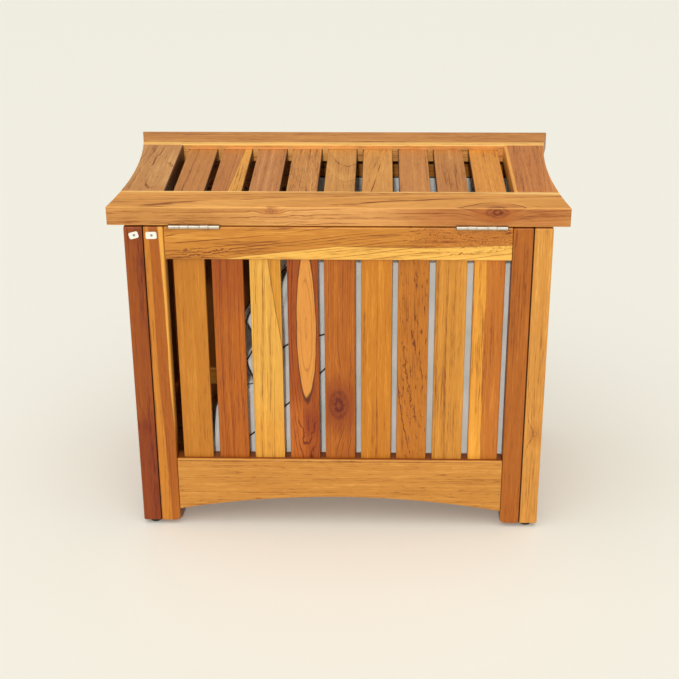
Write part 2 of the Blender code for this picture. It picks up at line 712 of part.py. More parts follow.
def build_hinges(pivot, rear_top_rail):
    """Build both hinges, and cut the pockets and screw holes that take their leaves in the rails."""
    lid_rail = parts.objects["lid_rear_rail"]
    centres = (-HINGE_CENTRE_X, HINGE_CENTRE_X)
    hole = screw_hole()
    for upward, rail, parent, label in ((True, lid_rail, pivot, "lid"), (False, rear_top_rail, None, "fixed")):
        places = [place for centre in centres for place in hinge_screw_places(centre, upward)]
        holes = add_cutter(label + "_screw_holes", copies(label + "_screw_holes", hole, places))
        side = 1 if upward else -1
        floor = HINGE_Z + side * (LID_GAP / 2 + LEAF_MORTISE)
        heights = sorted((floor, HINGE_Z))
        pockets = [(
            (centre - HINGE_LENGTH / 2 - CLEARANCE, REAR - CUT_OVERSHOOT, heights[0]),
            (centre + HINGE_LENGTH / 2 + CLEARANCE, HINGE_Y + HINGE_LEAF_DEPTH + CLEARANCE, heights[1]))
            for centre in centres]
        combine(rail, add_cutter(label + "_leaf_pockets", boxes(label + "_leaf_pockets", pockets)))
        combine(rail, holes)
        for side_name, centre in zip(("left", "right"), centres):
            hinge_leaf("hinge_leaf_%s_%s" % (label, side_name), centre, upward, holes, parent)
    for side_name, centre in zip(("left", "right"), centres):
        hinge_pin("hinge_pin_" + side_name, centre)


def glide_places():
    """Return each glide's name and place, a little in from the middle of its post's foot."""
    across = (POST_INNER + BODY_END) / 2 - GLIDE_INSET
    depths = (("rear", REAR + POST_DEPTH / 2), ("front", BODY_FRONT - POST_DEPTH / 2))
    return {
        "foot_glide_%s_%s" % (side_name, end_name): Vector((side * across, depth, 0))
        for side_name, side in (("left", -1), ("right", 1)) for end_name, depth in depths
    }


def build_glides():
    """Build the four nail-on glides under the posts."""
    top = GLIDE_HEIGHT - CLEARANCE
    point = top + GLIDE_NAIL_LENGTH
    profile = [
        (0, point), (GLIDE_NAIL_RADIUS, point - GLIDE_NAIL_POINT), (GLIDE_NAIL_RADIUS, top),
        (GLIDE_RADIUS - GLIDE_TOP_CHAMFER, top), (GLIDE_RADIUS, top - GLIDE_TOP_CHAMFER),
        (GLIDE_RADIUS, GLIDE_FOOT_CHAMFER), (GLIDE_RADIUS - GLIDE_FOOT_CHAMFER, 0), (0, 0),
    ]
    for name, place in glide_places().items():
        glide = turned(name, profile)
        glide.transform(Matrix.Translation(place))
        add_part(name, glide, rubber)


def build_bumpers():
    """Build the two soft bumpers that the closed lid's front rests on."""
    bottom = BODY_TOP + CLEARANCE
    top = LID_UNDERSIDE - CLEARANCE
    profile = [
        (0, top), (BUMPER_RADIUS - BUMPER_TOP_CHAMFER, top), (BUMPER_RADIUS, bottom + BUMPER_RIM),
        (BUMPER_RADIUS, bottom), (0, bottom),
    ]
    for side_name, side in (("left", -1), ("right", 1)):
        name = "lid_bumper_" + side_name
        bumper = turned(name, profile)
        bumper.transform(Matrix.Translation((side * BUMPER_X, BODY_FRONT - FRAME_THICKNESS / 2, 0)))
        add_part(name, bumper, clear_rubber)


def bolt_places():
    """Return where the eight frame bolts' heads sit, aimed outwards along X."""
    depths = (REAR + FRAME_THICKNESS / 2, BODY_FRONT - FRAME_THICKNESS / 2)
    seat = BODY_END - BOLT_HEAD_SUNK
    return [aimed((side * seat, depth, height), (side, 0, 0))
            for side in (-1, 1) for depth in depths for height in BOLT_HEIGHTS]


def insert_hole_mesh():
    """Return the blind holes in the stiles' outer sides for the bolts' threaded inserts."""
    outer = STILE_OUTER + INSERT_HOLE_MOUTH
    inner = STILE_OUTER - INSERT_LENGTH - INSERT_HOLE_REST
    spans = []
    for place in bolt_places():
        head = place.translation
        spans.append([(math.copysign(x, head.x), head.y, head.z) for x in (outer, inner)])
    return cylinders("insert_holes", INSERT_RADIUS + CLEARANCE, spans, BOLT_FACETS)


def bolt_hole_mesh():
    """Return the stepped holes that the bolts leave in the posts."""
    gap = CLEARANCE
    profile = [
        (0, CUT_OVERSHOOT), (BOLT_HEAD_RADIUS + gap, CUT_OVERSHOOT), (BOLT_HEAD_RADIUS + gap, -BOLT_HEAD - gap),
        (BOLT_RADIUS + gap, -BOLT_HEAD - gap), (BOLT_RADIUS + gap, -BOLT_REACH), (0, -BOLT_REACH),
    ]
    return copies("bolt_holes", turned("bolt_hole", profile, BOLT_FACETS), bolt_places())


# Liner and labels ----------------------------------------------------------------

def build_liner():
    """Build the open fabric bag, whose left end has slumped towards the middle."""
    rear = REAR + FRAME_THICKNESS + LINER_SIDE_GAP
    front = BODY_FRONT - FRAME_THICKNESS - LINER_SIDE_GAP
    bottom = FLOOR_TOP + CLEARANCE
    mesh = boxes("liner_bag", [((LINER_LEFT_FOOT, rear, bottom), (LINER_RIGHT, front, LINER_TOP))])
    bm = bmesh.new()
    bm.from_mesh(mesh)
    half_way = (bottom + LINER_TOP) / 2
    for vert in bm.verts:
        if vert.co.z > half_way and vert.co.x < 0:
            vert.co.x = LINER_LEFT_TOP
    corners = [edge for edge in bm.edges if len([vert for vert in edge.verts if vert.co.z > half_way]) == 1]
    bmesh.ops.bevel(bm, geom=corners, offset=LINER_CORNER, segments=3, profile=0.5, affect="EDGES")
    mouth = [face for face in bm.faces if all(vert.co.z > half_way for vert in face.verts)]
    bmesh.ops.delete(bm, geom=mouth, context="FACES_ONLY")
    bm.to_mesh(mesh)
    bm.free()
    liner = add_part("liner_bag", mesh, make_material("liner_fabric", srgb(206, 210, 208), 0.9))
    wall = liner.modifiers.new("wall", "SOLIDIFY")
    wall.thickness = LINER_WALL
    wall.offset = -1


def build_label(name, centre, size, turn):
    """Build one small blank label, turned in the plane of the stool's back."""
    half_x, half_z = size[0] / 2 - LABEL_CORNER, size[1] / 2 - LABEL_CORNER
    outline = []
    for index, (x, z) in enumerate(((half_x, half_z), (-half_x, half_z), (-half_x, -half_z), (half_x, -half_z))):
        outline += arc((x, z), LABEL_CORNER, index * 90, index * 90 + 90, LABEL_CORNER_STEPS)
    angle = math.radians(turn)
    placed = [(centre[0] + x * math.cos(angle) - z * math.sin(angle),
               centre[1] + x * math.sin(angle) + z * math.cos(angle)) for x, z in outline]
    plate = prism(name, "XZ", placed, REAR - CLEARANCE - LABEL_THICKNESS, REAR - CLEARANCE)
    add_part(name, plate, paper)


def build_labels():
    """Build the two assembly labels at the top of the left leg's back."""
    height = BODY_TOP - LABEL_DROP
    post_place = -(POST_INNER + POST_WIDTH * POST_LABEL_SHARE)
    stile_place = -(STILE_OUTER - STILE_WIDTH * STILE_LABEL_SHARE)
    build_label("post_label", (post_place, height), POST_LABEL_SIZE, POST_LABEL_TURN)
    build_label("stile_label", (stile_place, height), STILE_LABEL_SIZE, STILE_LABEL_TURN)


# Assembly ------------------------------------------------------------------------

for old in list(bpy.data.objects):
    bpy.data.objects.remove(old, do_unlink=True)

parts = make_collection("shower_stool")
cutters = make_collection("cutters")
steel = make_material("stainless_steel", srgb(214, 208, 200), 0.32, 1.0)
paper = make_material("label_paper", srgb(244, 242, 232), 0.6)
rubber = make_material("black_rubber", srgb(24, 22, 20), 0.7)
clear_rubber = make_material("clear_rubber", srgb(205, 205, 198), 0.4)

lid_pivot = bpy.data.objects.new("lid_pivot", None)
lid_pivot.location = (0, HINGE_Y, HINGE_Z)
parts.objects.link(lid_pivot)

left_tenons, right_tenons = side_joints()
side_mortises = add_cutter("side_mortises", boxes("side_mortises", grown(left_tenons + right_tenons)))
bolt_holes = add_cutter("bolt_holes", bolt_hole_mesh())
insert_holes = add_cutter("insert_holes", insert_hole_mesh())
glide_holes = add_cutter("glide_holes", cylinders("glide_holes", GLIDE_HOLE_RADIUS, [
    (place, place + Vector((0, 0, GLIDE_HOLE_TOP))) for place in glide_places().values()], HOLE_FACETS))

build_lid(lid_pivot)
build_posts()
rear_rail = build_long_frame(
    "rear", REAR, REAR_TONES, (HONEY, RUSSET), (HONEY, GOLD), panelled=False)
build_long_frame(
    "front", BODY_FRONT - FRAME_THICKNESS, (HONEY,), (GOLD, HONEY), (GOLD, HONEY), panelled=True)
build_side_frame("left", -1, RUSSET, left_tenons)
build_side_frame("right", 1, GOLD, right_tenons)
build_floor()
build_hinges(lid_pivot, rear_rail)
build_glides()
build_bumpers()
build_liner()
build_labels()
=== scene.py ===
import math

import bmesh
import bpy
from mathutils import Matrix, Vector, noise
from mathutils.bvhtree import BVHTree


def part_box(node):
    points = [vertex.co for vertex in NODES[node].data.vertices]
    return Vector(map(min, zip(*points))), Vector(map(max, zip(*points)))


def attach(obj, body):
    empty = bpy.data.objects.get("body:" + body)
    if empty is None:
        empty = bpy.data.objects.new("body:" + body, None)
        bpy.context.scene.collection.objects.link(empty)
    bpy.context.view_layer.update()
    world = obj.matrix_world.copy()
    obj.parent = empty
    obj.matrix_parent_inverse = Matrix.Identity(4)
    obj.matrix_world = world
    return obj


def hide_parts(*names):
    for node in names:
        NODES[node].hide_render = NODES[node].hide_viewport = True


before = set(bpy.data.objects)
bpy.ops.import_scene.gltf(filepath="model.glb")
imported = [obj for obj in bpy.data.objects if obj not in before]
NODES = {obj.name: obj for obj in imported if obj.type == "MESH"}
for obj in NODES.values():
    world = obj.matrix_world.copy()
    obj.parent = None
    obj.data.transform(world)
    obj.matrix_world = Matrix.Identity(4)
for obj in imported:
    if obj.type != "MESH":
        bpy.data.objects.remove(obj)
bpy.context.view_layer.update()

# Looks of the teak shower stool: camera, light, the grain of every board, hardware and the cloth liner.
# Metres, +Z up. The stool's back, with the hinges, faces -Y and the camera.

BODY = "stool_body"
LID = "lid"
MM = 0.001
TURN = 2 * math.pi


# Camera and light ---

CAMERA_PLACE = (0.0559, -1.9657, 1.1437)
CAMERA_TURNS = ((1.732, "Z"), (64.849, "X"), (-0.369, "Z"))
CAMERA_LENS = 77.46
FLOOR_CREAM = (0.93, 0.925, 0.85, 1)
FLOOR_HALF = 60


def added(name, data):
    """Return a new object in the scene."""
    thing = bpy.data.objects.new(name, data)
    bpy.context.scene.collection.objects.link(thing)
    return thing


def to_mesh(name, bm):
    """Return a new mesh from a bmesh and free it."""
    mesh = bpy.data.meshes.new(name)
    bm.to_mesh(mesh)
    bm.free()
    return mesh


def add_camera():
    """Place the camera behind the stool, a little above it."""
    data = bpy.data.cameras.new("camera")
    data.lens = CAMERA_LENS
    data.sensor_width = 36
    camera = added("camera", data)
    pose = Matrix.Translation(CAMERA_PLACE)
    for degrees, axis in CAMERA_TURNS:
        pose = pose @ Matrix.Rotation(math.radians(degrees), 4, axis)
    camera.matrix_world = pose
    bpy.context.scene.camera = camera


def add_sun(name, towards, power, colour, softness):
    """Light everything evenly from the far side of a direction, with soft-edged shadows."""
    data = bpy.data.lights.new(name, "SUN")
    data.energy = power
    data.color = colour
    data.angle = math.radians(softness)
    added(name, data).rotation_euler = Vector(towards).to_track_quat("-Z", "Y").to_euler()


def add_studio():
    """Add the soft lights, the world's fill and the plain floor."""
    add_sun("key", (0.05, 1.0, -0.55), 1.32, (1.0, 0.98, 0.94), 3.5)
    add_sun("overhead", (0.1, 0.3, -1.0), 1.4, (1.0, 0.98, 0.93), 80)
    world = bpy.data.worlds.new("studio")
    world.use_nodes = True
    background = world.node_tree.nodes["Background"]
    background.inputs["Color"].default_value = (1.0, 0.985, 0.95, 1)
    background.inputs["Strength"].default_value = 0.36
    bpy.context.scene.world = world
    bpy.context.scene.view_settings.view_transform = "Standard"

    bm = bmesh.new()
    bmesh.ops.create_grid(bm, x_segments=4, y_segments=4, size=FLOOR_HALF)
    floor = added("floor", to_mesh("floor", bm))
    material, g, shader = new_material("pale_floor")
    g.paint(shader, FLOOR_CREAM, 0.6)
    floor.data.materials.append(material)


# Shader helpers ---

def srgb(red, green, blue):
    """Turn an 8-bit display colour into a linear one."""
    def linear(value):
        value = max(0, value) / 255
        return value / 12.92 if value <= 0.04045 else ((value + 0.055) / 1.055) ** 2.4
    return (linear(red), linear(green), linear(blue), 1.0)


class Graph:
    """A node tree with short ways to add nodes and join them."""

    def __init__(self, tree):
        self.tree = tree

    def put(self, socket, value):
        if isinstance(value, bpy.types.NodeSocket):
            self.tree.links.new(value, socket)
        else:
            socket.default_value = value

    def node(self, kind, inputs=(), **settings):
        made = self.tree.nodes.new("ShaderNode" + kind)
        for name, value in settings.items():
            setattr(made, name, value)
        for name, value in dict(inputs).items():
            self.put(made.inputs[name], value)
        return made

    def math(self, operation, *values):
        return self.node("Math", enumerate(values), operation=operation).outputs[0]

    def times(self, first, second):
        return self.math("MULTIPLY", first, second)

    def times_plus(self, first, second, third):
        return self.math("MULTIPLY_ADD", first, second, third)

    def less(self, first, second):
        return self.math("SUBTRACT", first, second)

    def vector(self, operation, *values):
        return self.node("VectorMath", enumerate(values), operation=operation).outputs[0]

    def stretch(self, vector, along, across=None, deep=None):
        return self.vector("MULTIPLY", vector, (along, across or along, deep or across or along))

    def place(self):
        return self.node("TexCoord").outputs["Object"]

    def split(self, vector):
        return self.node("SeparateXYZ", {"Vector": vector}).outputs

    def join(self, x, y, z):
        return self.node("CombineXYZ", {"X": x, "Y": y, "Z": z}).outputs[0]

    def noise(self, vector, detail=2.0, roughness=0.5, output="Fac"):
        inputs = {"Vector": vector, "Scale": 1.0, "Detail": detail, "Roughness": roughness}
        return self.node("TexNoise", inputs).outputs[output]

    def noise_line(self, value):
        inputs = {"W": value, "Scale": 1.0, "Detail": 1.0}
        return self.node("TexNoise", inputs, noise_dimensions="1D").outputs["Fac"]

    def white(self, value):
        return self.node("TexWhiteNoise", {"W": value}, noise_dimensions="1D").outputs["Value"]

    def step(self, value, low, high, start=0.0, end=1.0):
        inputs = {"Value": value, "From Min": low, "From Max": high, "To Min": start, "To Max": end}
        return self.node("MapRange", inputs, interpolation_type="SMOOTHSTEP").outputs["Result"]

    def line(self, value, low, span, rise):
        inputs = {"Value": value, "From Min": low, "From Max": low + span, "To Min": 0.0, "To Max": rise}
        return self.node("MapRange", inputs).outputs["Result"]

    def bump(self, shader, height, strength, distance):
        made = self.node("Bump", {"Height": height, "Strength": strength, "Distance": distance * MM})
        self.put(shader.inputs["Normal"], made.outputs[0])

    def paint(self, shader, colour, rough, specular=0.5):
        for name, value in (("Base Color", colour), ("Roughness", rough), ("Specular IOR Level", specular)):
            self.put(shader.inputs[name], value)

    def mix(self, factor, first, second):
        return self.node("Mix", {0: factor, 6: first, 7: second}, data_type="RGBA").outputs[2]

    def total(self, *values):
        found = values[0]
        for value in values[1:]:
            found = self.math("ADD", found, value)
        return found

    def about(self, value, strength):
        """Return strength times how far a 0 to 1 value lies from its middle."""
        return self.times(self.less(value, 0.5), strength)


def new_material(name):
    """Return a new material, its graph and its Principled shader."""
    material = bpy.data.materials.new(name)
    material.use_nodes = True
    return material, Graph(material.node_tree), material.node_tree.nodes["Principled BSDF"]


def dress(node, material):
    """Give a carried CAD node its material."""
    mesh = NODES[node].data
    mesh.materials.clear()
    mesh.materials.append(material)


# Teak ---

INK = (84, 38, 18)
SHEEN = 0.018

TEAK_INPUTS = {
    "Vector": ("Point", "Seed", "Pith", "Lean"),
    "Float": ("Spacing", "Warp", "Bulge", "Lines", "Streaks", "Bands", "Blotches", "Flecks"),
    "Color": ("Base", "Dark", "Light"),
}
TEAK_OUTPUTS = {"Color": ("Colour",), "Float": ("Roughness", "Height", "Radius")}


def teak_group():
    """Return the node group for teak's grain, as a solid texture in a board's own axes, X along the grain."""
    tree = bpy.data.node_groups.new("teak_grain", "ShaderNodeTree")
    for direction, sockets in (("INPUT", TEAK_INPUTS), ("OUTPUT", TEAK_OUTPUTS)):
        for kind, names in sockets.items():
            for name in names:
                tree.interface.new_socket(name, in_out=direction, socket_type="NodeSocket" + kind)
    g = Graph(tree)
    given = tree.nodes.new("NodeGroupInput").outputs
    seeded = g.vector("ADD", given["Point"], given["Seed"])

    # growth rings about a pith that may lean across the board
    sway = g.vector("SUBTRACT", g.noise(g.stretch(seeded, 5, 22), output="Color"), (0.5, 0.5, 0.5))
    warp = g.join(0.0, given["Warp"], given["Warp"])
    swayed = g.vector("ADD", given["Point"], g.vector("MULTIPLY", sway, warp))
    along, across, deep = g.split(swayed)
    _, pith_across, pith_deep = g.split(given["Pith"])
    _, lean_across, lean_deep = g.split(given["Lean"])
    off_across = g.less(across, g.times_plus(lean_across, along, pith_across))
    off_deep = g.less(deep, g.times_plus(lean_deep, along, pith_deep))
    squares = g.total(g.math("POWER", off_across, 2.0), g.math("POWER", off_deep, 2.0))
    radius = g.total(g.math("SQRT", squares), given["Bulge"])
    ring = g.math("DIVIDE", radius, given["Spacing"])
    ring = g.total(ring, g.about(g.noise(g.stretch(seeded, 14, 90)), 0.5))

    # a dark latewood line in the middle of each ring, bold on some rings and faint on others
    from_line = g.math("ABSOLUTE", g.less(g.math("FRACT", ring), 0.5))
    boldness = g.math("POWER", g.white(g.math("FLOOR", ring)), 2.0)
    broken = g.step(g.noise(g.stretch(seeded, 9, 50)), 0.3, 0.6)
    line = g.times(g.step(from_line, 0.0, 0.17, 1.0, 0.0), g.times(boldness, broken))
    bands = g.noise_line(g.times(ring, 0.45))

    fine = g.noise(g.stretch(seeded, 16, 620), 3.0, 0.6)
    broad = g.noise(g.stretch(seeded, 4.5, 190), 3.0, 0.6)
    fibres = g.noise(g.stretch(seeded, 60, 520))
    pores = g.step(g.noise(g.stretch(seeded, 70, 1500), 1.0), 0.60, 0.74)
    flecks = g.step(g.noise(g.stretch(seeded, 75, 340)), 0.60, 0.70)
    blotches = g.noise(g.stretch(seeded, 7, 24))

    streaks = g.total(g.about(fine, 1.1), g.about(broad, 0.9), g.about(fibres, 0.8))
    tone = g.total(
        0.5,
        g.times(streaks, given["Streaks"]),
        g.about(bands, given["Bands"]),
        g.about(blotches, given["Blotches"]),
        g.times(line, g.times(given["Lines"], -1.0)),
        g.times(flecks, g.times(given["Flecks"], -1.0)),
        g.times(pores, -0.10))
    colour = g.mix(g.step(tone, -0.1, 0.5), given["Dark"], given["Base"])
    colour = g.mix(g.step(tone, 0.5, 1.0), colour, given["Light"])
    rough = g.total(0.44, g.about(fine, 0.16), g.times(pores, 0.15), g.times(line, 0.06))
    height = g.total(g.about(fine, 0.5), g.times(pores, -0.7), g.times(line, -0.35))

    out = tree.nodes.new("NodeGroupOutput")
    for socket, value in zip(out.inputs, (colour, rough, height, radius)):
        tree.links.new(value, socket)
    return tree


TEAK = teak_group()
GRAIN_AXES = {"X": "XZY", "XY": "XYZ", "Y": "YXZ", "YZ": "YZX", "Z": "ZXY", "ZY": "ZYX"}


def shaded(tone, share=1.0, red=1.0, green=1.0, blue=1.0):
    """Return a wood tone made darker or lighter, less the light that the oil's sheen adds."""
    shades = srgb(tone[0] * share * red, tone[1] * share * green, tone[2] * share * blue)
    return (*(max(value - SHEEN, value * 0.3) for value in shades[:3]), 1.0)


def spot(g, point, centre, radii):
    """Return the squared distance from a spot's middle, 1 at its edge."""
    off = g.vector("DIVIDE", g.vector("SUBTRACT", point, centre), radii)
    return g.total(*(g.math("POWER", part, 2.0) for part in g.split(off)))


def teak(node, axes, tone, seed, pith=(0.01, -0.05), lean=(0.0, 0.0), spacing=4.0, warp=5.0, lines=0.4,
         streaks=0.8, bands=0.5, blotches=0.6, flecks=0.0, zones=(), knots=(), figures=(), joints=(),
         rows=None, inside=0):
    """Dress a board in teak.

    axes names the world axes along the grain, across the face and into the board. pith is the tree's centre,
    across and into the board, in metres from the board's middle, and lean how far it moves per metre along.
    spacing and warp, in millimetres, are how far apart and how wavy the rings are, and lines to flecks say
    how strongly each kind of mark shows. zones, knots and figures add what one board alone shows, in metres
    from its middle: a knot's place, radius, depth and strength, and a figure's place, radii, strength and
    ripple size. joints are the edges across, -1 or 1, given painted shade where they face the next
    board. rows is the number and pitch of the boards in a panel: each gets its own stretch of grain and its
    own tone. inside is the side, -1 or 1, of the face that looks into the box, which gets painted shade.
    """
    material, g, shader = new_material(node + "_teak")
    low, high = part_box(node)
    order = ["XYZ".index(axis) for axis in GRAIN_AXES[axes]]
    sizes = [(high[index] - low[index]) / 2 for index in order]
    board_place = g.node("TexCoord").outputs
    parts = g.split(g.vector("SUBTRACT", board_place["Object"], tuple((low + high) / 2)))
    x, y, z = (parts[index] for index in order)

    offset = (seed * 1.37, seed * 0.71, seed * 2.13)
    variety = None
    if rows:
        count, pitch = rows
        number = g.math("FLOOR", g.times_plus(y, 1 / pitch, count / 2))
        variety = g.white(g.total(number, seed + 0.5))
        y = g.less(y, g.times(g.less(number, (count - 1) / 2), pitch))
        offset = g.join(g.times(variety, 9.0), g.times(variety, 5.0), seed * 2.13)
    point = g.join(x, y, z)

    bulge = 0.0
    knot_shades = []
    for centre, radius, reach, strength in knots:
        far = spot(g, point, centre, (radius * 1.7, radius, reach))
        push = g.times(g.math("EXPONENT", g.times(far, -0.25)), radius * 1.4)
        bulge = g.total(push, bulge)
        knot_shades.append((far, strength))
    for centre, radii, strength, size in figures:
        ripple = g.about(g.noise(g.stretch(point, 0.6 / size, 1 / size, 1 / size), 3.0, 0.6), strength)
        near = g.step(spot(g, point, centre, radii), 1.4, 0.3)
        bulge = g.times_plus(ripple, near, bulge)
        lines = g.times_plus(near, 90 * strength, lines)
        flecks = g.times_plus(near, 12 * strength, flecks)

    inputs = {
        "Point": point, "Seed": offset, "Pith": (0, *pith), "Lean": (0, *lean), "Spacing": spacing * MM,
        "Warp": warp * MM, "Bulge": bulge, "Base": shaded(tone), "Dark": shaded(tone, 0.62, 1.05, 0.88, 0.78),
        "Light": shaded(tone, 1.13, 1.0, 1.07, 1.15), "Lines": lines, "Streaks": streaks, "Bands": bands,
        "Blotches": blotches, "Flecks": flecks}
    grain = g.node("Group", node_tree=TEAK)
    for socket, value in inputs.items():
        g.put(grain.inputs[socket], value)
    colour = grain.outputs["Colour"]

    place = (x, y, z, point)
    for zone in zones:
        colour = add_zone(g, colour, grain.outputs["Radius"], place, sizes, shaded(tone)[0], **zone)
    for far, strength in knot_shades:
        colour = add_knot(g, colour, point, tone, far, strength)
    if rows:
        colour = g.mix(g.times(variety, 0.6), colour, shaded(tone, 0.80, 1.03, 0.84, 0.72))
    facing = g.split(board_place["Normal"])[order[0]]
    colour = add_edges(g, colour, tone, place, sizes, facing, not rows, joints, inside)
    g.paint(shader, colour, grain.outputs["Roughness"], 0.32)
    g.bump(shader, grain.outputs["Height"], 0.35, 0.25)
    dress(node, material)


def add_knot(g, colour, point, tone, far, strength):
    """Colour a knot's dark, speckled rings and the halo round them."""
    speckle = g.noise(g.stretch(point, 240, 420))
    rings = g.math("SINE", g.times_plus(speckle, 9.0, g.times(g.math("SQRT", far), 11.0)))
    core = g.times(g.step(far, 1.2, 0.2), g.times_plus(rings, 0.36, 0.62))
    halo = g.times(g.step(far, 5.0, 0.3), strength * 0.6)
    colour = g.mix(halo, colour, shaded(tone, 0.72, 1.06, 0.82, 0.7))
    return g.mix(g.times(core, strength), colour, shaded(INK, 1.25))


def add_edges(g, colour, tone, place, sizes, facing, edge_highlight, joints, inside):
    """Colour a board's end grain, and paint highlights on its edges and shade by the next board and in the
    box.
    """
    _, y, z, _ = place
    # Painted highlight: the eased edges are made lighter, as if they catch the light.
    if edge_highlight:
        near = [g.step(g.math("ABSOLUTE", part), half - 2.2 * MM, half - 0.4 * MM)
                for part, half in ((y, sizes[1]), (z, sizes[2]))]
        colour = g.mix(g.times(g.times(*near), 0.4), colour, shaded(tone, 1.15, 1.0, 1.08, 1.2))
    # Painted shade on the edge and side face that look across a gap at the next board.
    for side in joints:
        close = g.step(g.times(y, side), sizes[1] - 1.5 * MM, sizes[1] - 0.5 * MM)
        colour = g.mix(g.times(close, 0.85), colour, shaded(INK, 0.8))
    # Painted shade on the face that looks into the box.
    if inside:
        shade = g.step(g.times(z, inside), 0.0, 0.6 * sizes[2])
        colour = g.mix(g.times(shade, 0.8), colour, shaded(tone, 0.52, 1.0, 0.8, 0.7))
    end = g.step(g.math("ABSOLUTE", facing), 0.7, 0.95)
    return g.mix(g.times(end, 0.45), colour, shaded(tone, 0.62, 1.0, 0.86, 0.8))


def add_zone(g, colour, radius, place, sizes, plain, tone, line=(-2.0, -2.0), side=1, core=None,
             wobble=2.0, soft=0.7, strength=0.85, rim=0.0, reach=None, fade=0.02, above=None, calm=0.0):
    """Colour the part of a board on one side of a wavy line, or inside one growth ring.

    line says where it crosses the board at equal steps from its low end to its high end, in half widths, and
    side which side of it is coloured. Without a line all of it is. core is the ring's radius instead.
    wobble and soft are how far the boundary wanders and blurs, in millimetres, and rim darkens it. reach
    keeps the zone to a stretch of the board, in half lengths, and fade blurs its ends, in metres. above
    keeps it to the face, past that share of the half thickness. calm evens out the grain beneath, and plain
    is how bright that grain's own tone is.
    """
    x, y, z, point = place
    wave = g.about(g.noise(g.stretch(point, 22, 60)), wobble * MM)
    if core:
        inside = g.less(core, g.total(radius, wave))
    else:
        step = 2 * sizes[0] / (len(line) - 1)
        rises = [g.line(x, -sizes[0] + number * step, step, (after - before) * sizes[1])
                 for number, (before, after) in enumerate(zip(line, line[1:]))]
        edge = g.total(line[0] * sizes[1], *rises)
        inside = g.times(g.less(g.total(y, wave), edge), side)
    mask = g.times(g.step(inside, -soft * MM, soft * MM), strength)
    if reach:
        low, high = (share * sizes[0] for share in reach)
        span = g.times(g.step(x, low - fade, low + fade), g.step(x, high + fade, high - fade))
        mask = g.times(mask, span)
    if above:
        mask = g.times(mask, g.step(z, (above - 0.04) * sizes[2], above * sizes[2]))
    value = g.node("SeparateColor", {"Color": colour}, mode="HSV").outputs[2]
    light = g.times_plus(g.step(value, 0.4 * plain, 1.3 * plain), 1.0 - calm, 0.75 * calm)
    patch = g.mix(light, shaded(tone, 0.70, 1.05, 0.88, 0.78), shaded(tone, 1.07))
    colour = g.mix(mask, colour, patch)
    if rim:
        edge = g.times(g.step(g.math("ABSOLUTE", inside), 1.0 * MM, 0.1 * MM), rim)
        colour = g.mix(edge, colour, shaded(INK))
    return colour


def seat_boards():
    """Dress the lid's nine slats."""
    looks = {
        1: dict(tone=(198, 132, 74), pith=(0.02, -0.05), seed=1),
        2: dict(tone=(195, 126, 70), pith=(0.05, -0.03), seed=2, zones=[
            dict(line=(0.02, 0.28, 0.50), tone=(244, 180, 86), rim=0.25, wobble=1.0)]),
        3: dict(tone=(199, 133, 79), pith=(0.09, -0.01), seed=3, spacing=3.0, lines=0.6),
        4: dict(tone=(206, 141, 78), pith=(0.07, -0.02), seed=4, streaks=1.3),
        5: dict(tone=(210, 147, 79), pith=(0.01, -0.06), lean=(0.0, 0.12), seed=5),
        6: dict(tone=(220, 154, 81), pith=(0.03, -0.02), lean=(0.16, 0.05), seed=6, spacing=6.0, lines=0.9),
        7: dict(tone=(206, 138, 78), pith=(0.08, 0.0), seed=7),
        8: dict(tone=(199, 133, 74), pith=(-0.05, -0.02), seed=8, blotches=0.9),
        9: dict(tone=(225, 150, 69), pith=(0.06, 0.02), seed=9),
    }
    # Slats 1 to 5 get painted shade on their right sides, and slats 6 to 9 on their left.
    for number, look in looks.items():
        teak("seat_slat_%d" % number, "Y", joints=(1 if number < 6 else -1,), **look)


def rear_boards():
    """Dress the nine slats at the back."""
    looks = {
        1: dict(tone=(192, 123, 49), pith=(0.02, -0.09), seed=11, lines=0.15, streaks=0.7, bands=0.4),
        2: dict(tone=(178, 98, 33), pith=(0.07, -0.01), seed=12, spacing=2.2, lines=2.4, bands=0.3, warp=8.0,
                zones=[dict(tone=(160, 84, 26), reach=(0.5, 1.1), fade=0.04)]),
        3: dict(tone=(226, 168, 78), pith=(0.07, -0.02), lean=(0.03, 0.0), seed=13, spacing=2.4, lines=0.8,
                streaks=0.7, zones=[
                    dict(line=(3.0, 2.0, 1.12, 0.58, 0.13), tone=(200, 137, 50), rim=0.6, wobble=1.2),
                    dict(tone=(220, 156, 66), reach=(-1.1, -0.5), fade=0.04)]),
        4: dict(tone=(164, 84, 24), pith=(0.0042, -0.0114), lean=(0.0, 0.117), seed=14, spacing=3.2,
                lines=1.2, warp=3.0, figures=[((-0.105, 0.004, 0), (0.05, 0.02, 1), 0.007, 0.014)], zones=[
                    dict(line=(0.0, 0.0), side=-1, tone=(190, 108, 46), reach=(-1.1, -0.4), soft=3.0),
                    dict(line=(-0.1, 0.2), tone=(148, 70, 24), reach=(-0.7, -0.48), fade=0.012, soft=4.0),
                    dict(core=0.0135, tone=(228, 160, 80), rim=0.9, wobble=3.0, calm=0.6)]),
        5: dict(tone=(176, 100, 40), pith=(0.045, -0.012), lean=(0.02, 0.0), seed=15, spacing=3.2, lines=1.1,
                knots=[((-0.068, -0.0022, 0), 0.0150, 1.0, 1.0)]),
        6: dict(tone=(198, 125, 47), pith=(0.03, -0.06), seed=16, lines=0.3, blotches=0.7),
        7: dict(tone=(189, 117, 48), pith=(0.02, -0.05), lean=(0.02, 0.1), seed=17, lines=0.5, flecks=0.4,
                figures=[((0.0, -0.004, 0), (0.13, 0.016, 1), 0.006, 0.006)]),
        8: dict(tone=(206, 140, 61), pith=(0.09, -0.02), seed=18, spacing=3.4),
        9: dict(tone=(190, 113, 49), pith=(0.07, -0.01), seed=19, zones=[
            dict(line=(-0.14, -0.22, -0.16), side=-1, tone=(234, 167, 68), rim=0.15, wobble=4.5)]),
    }
    for number, look in looks.items():
        teak("rear_slat_%d" % number, "Z", **look)


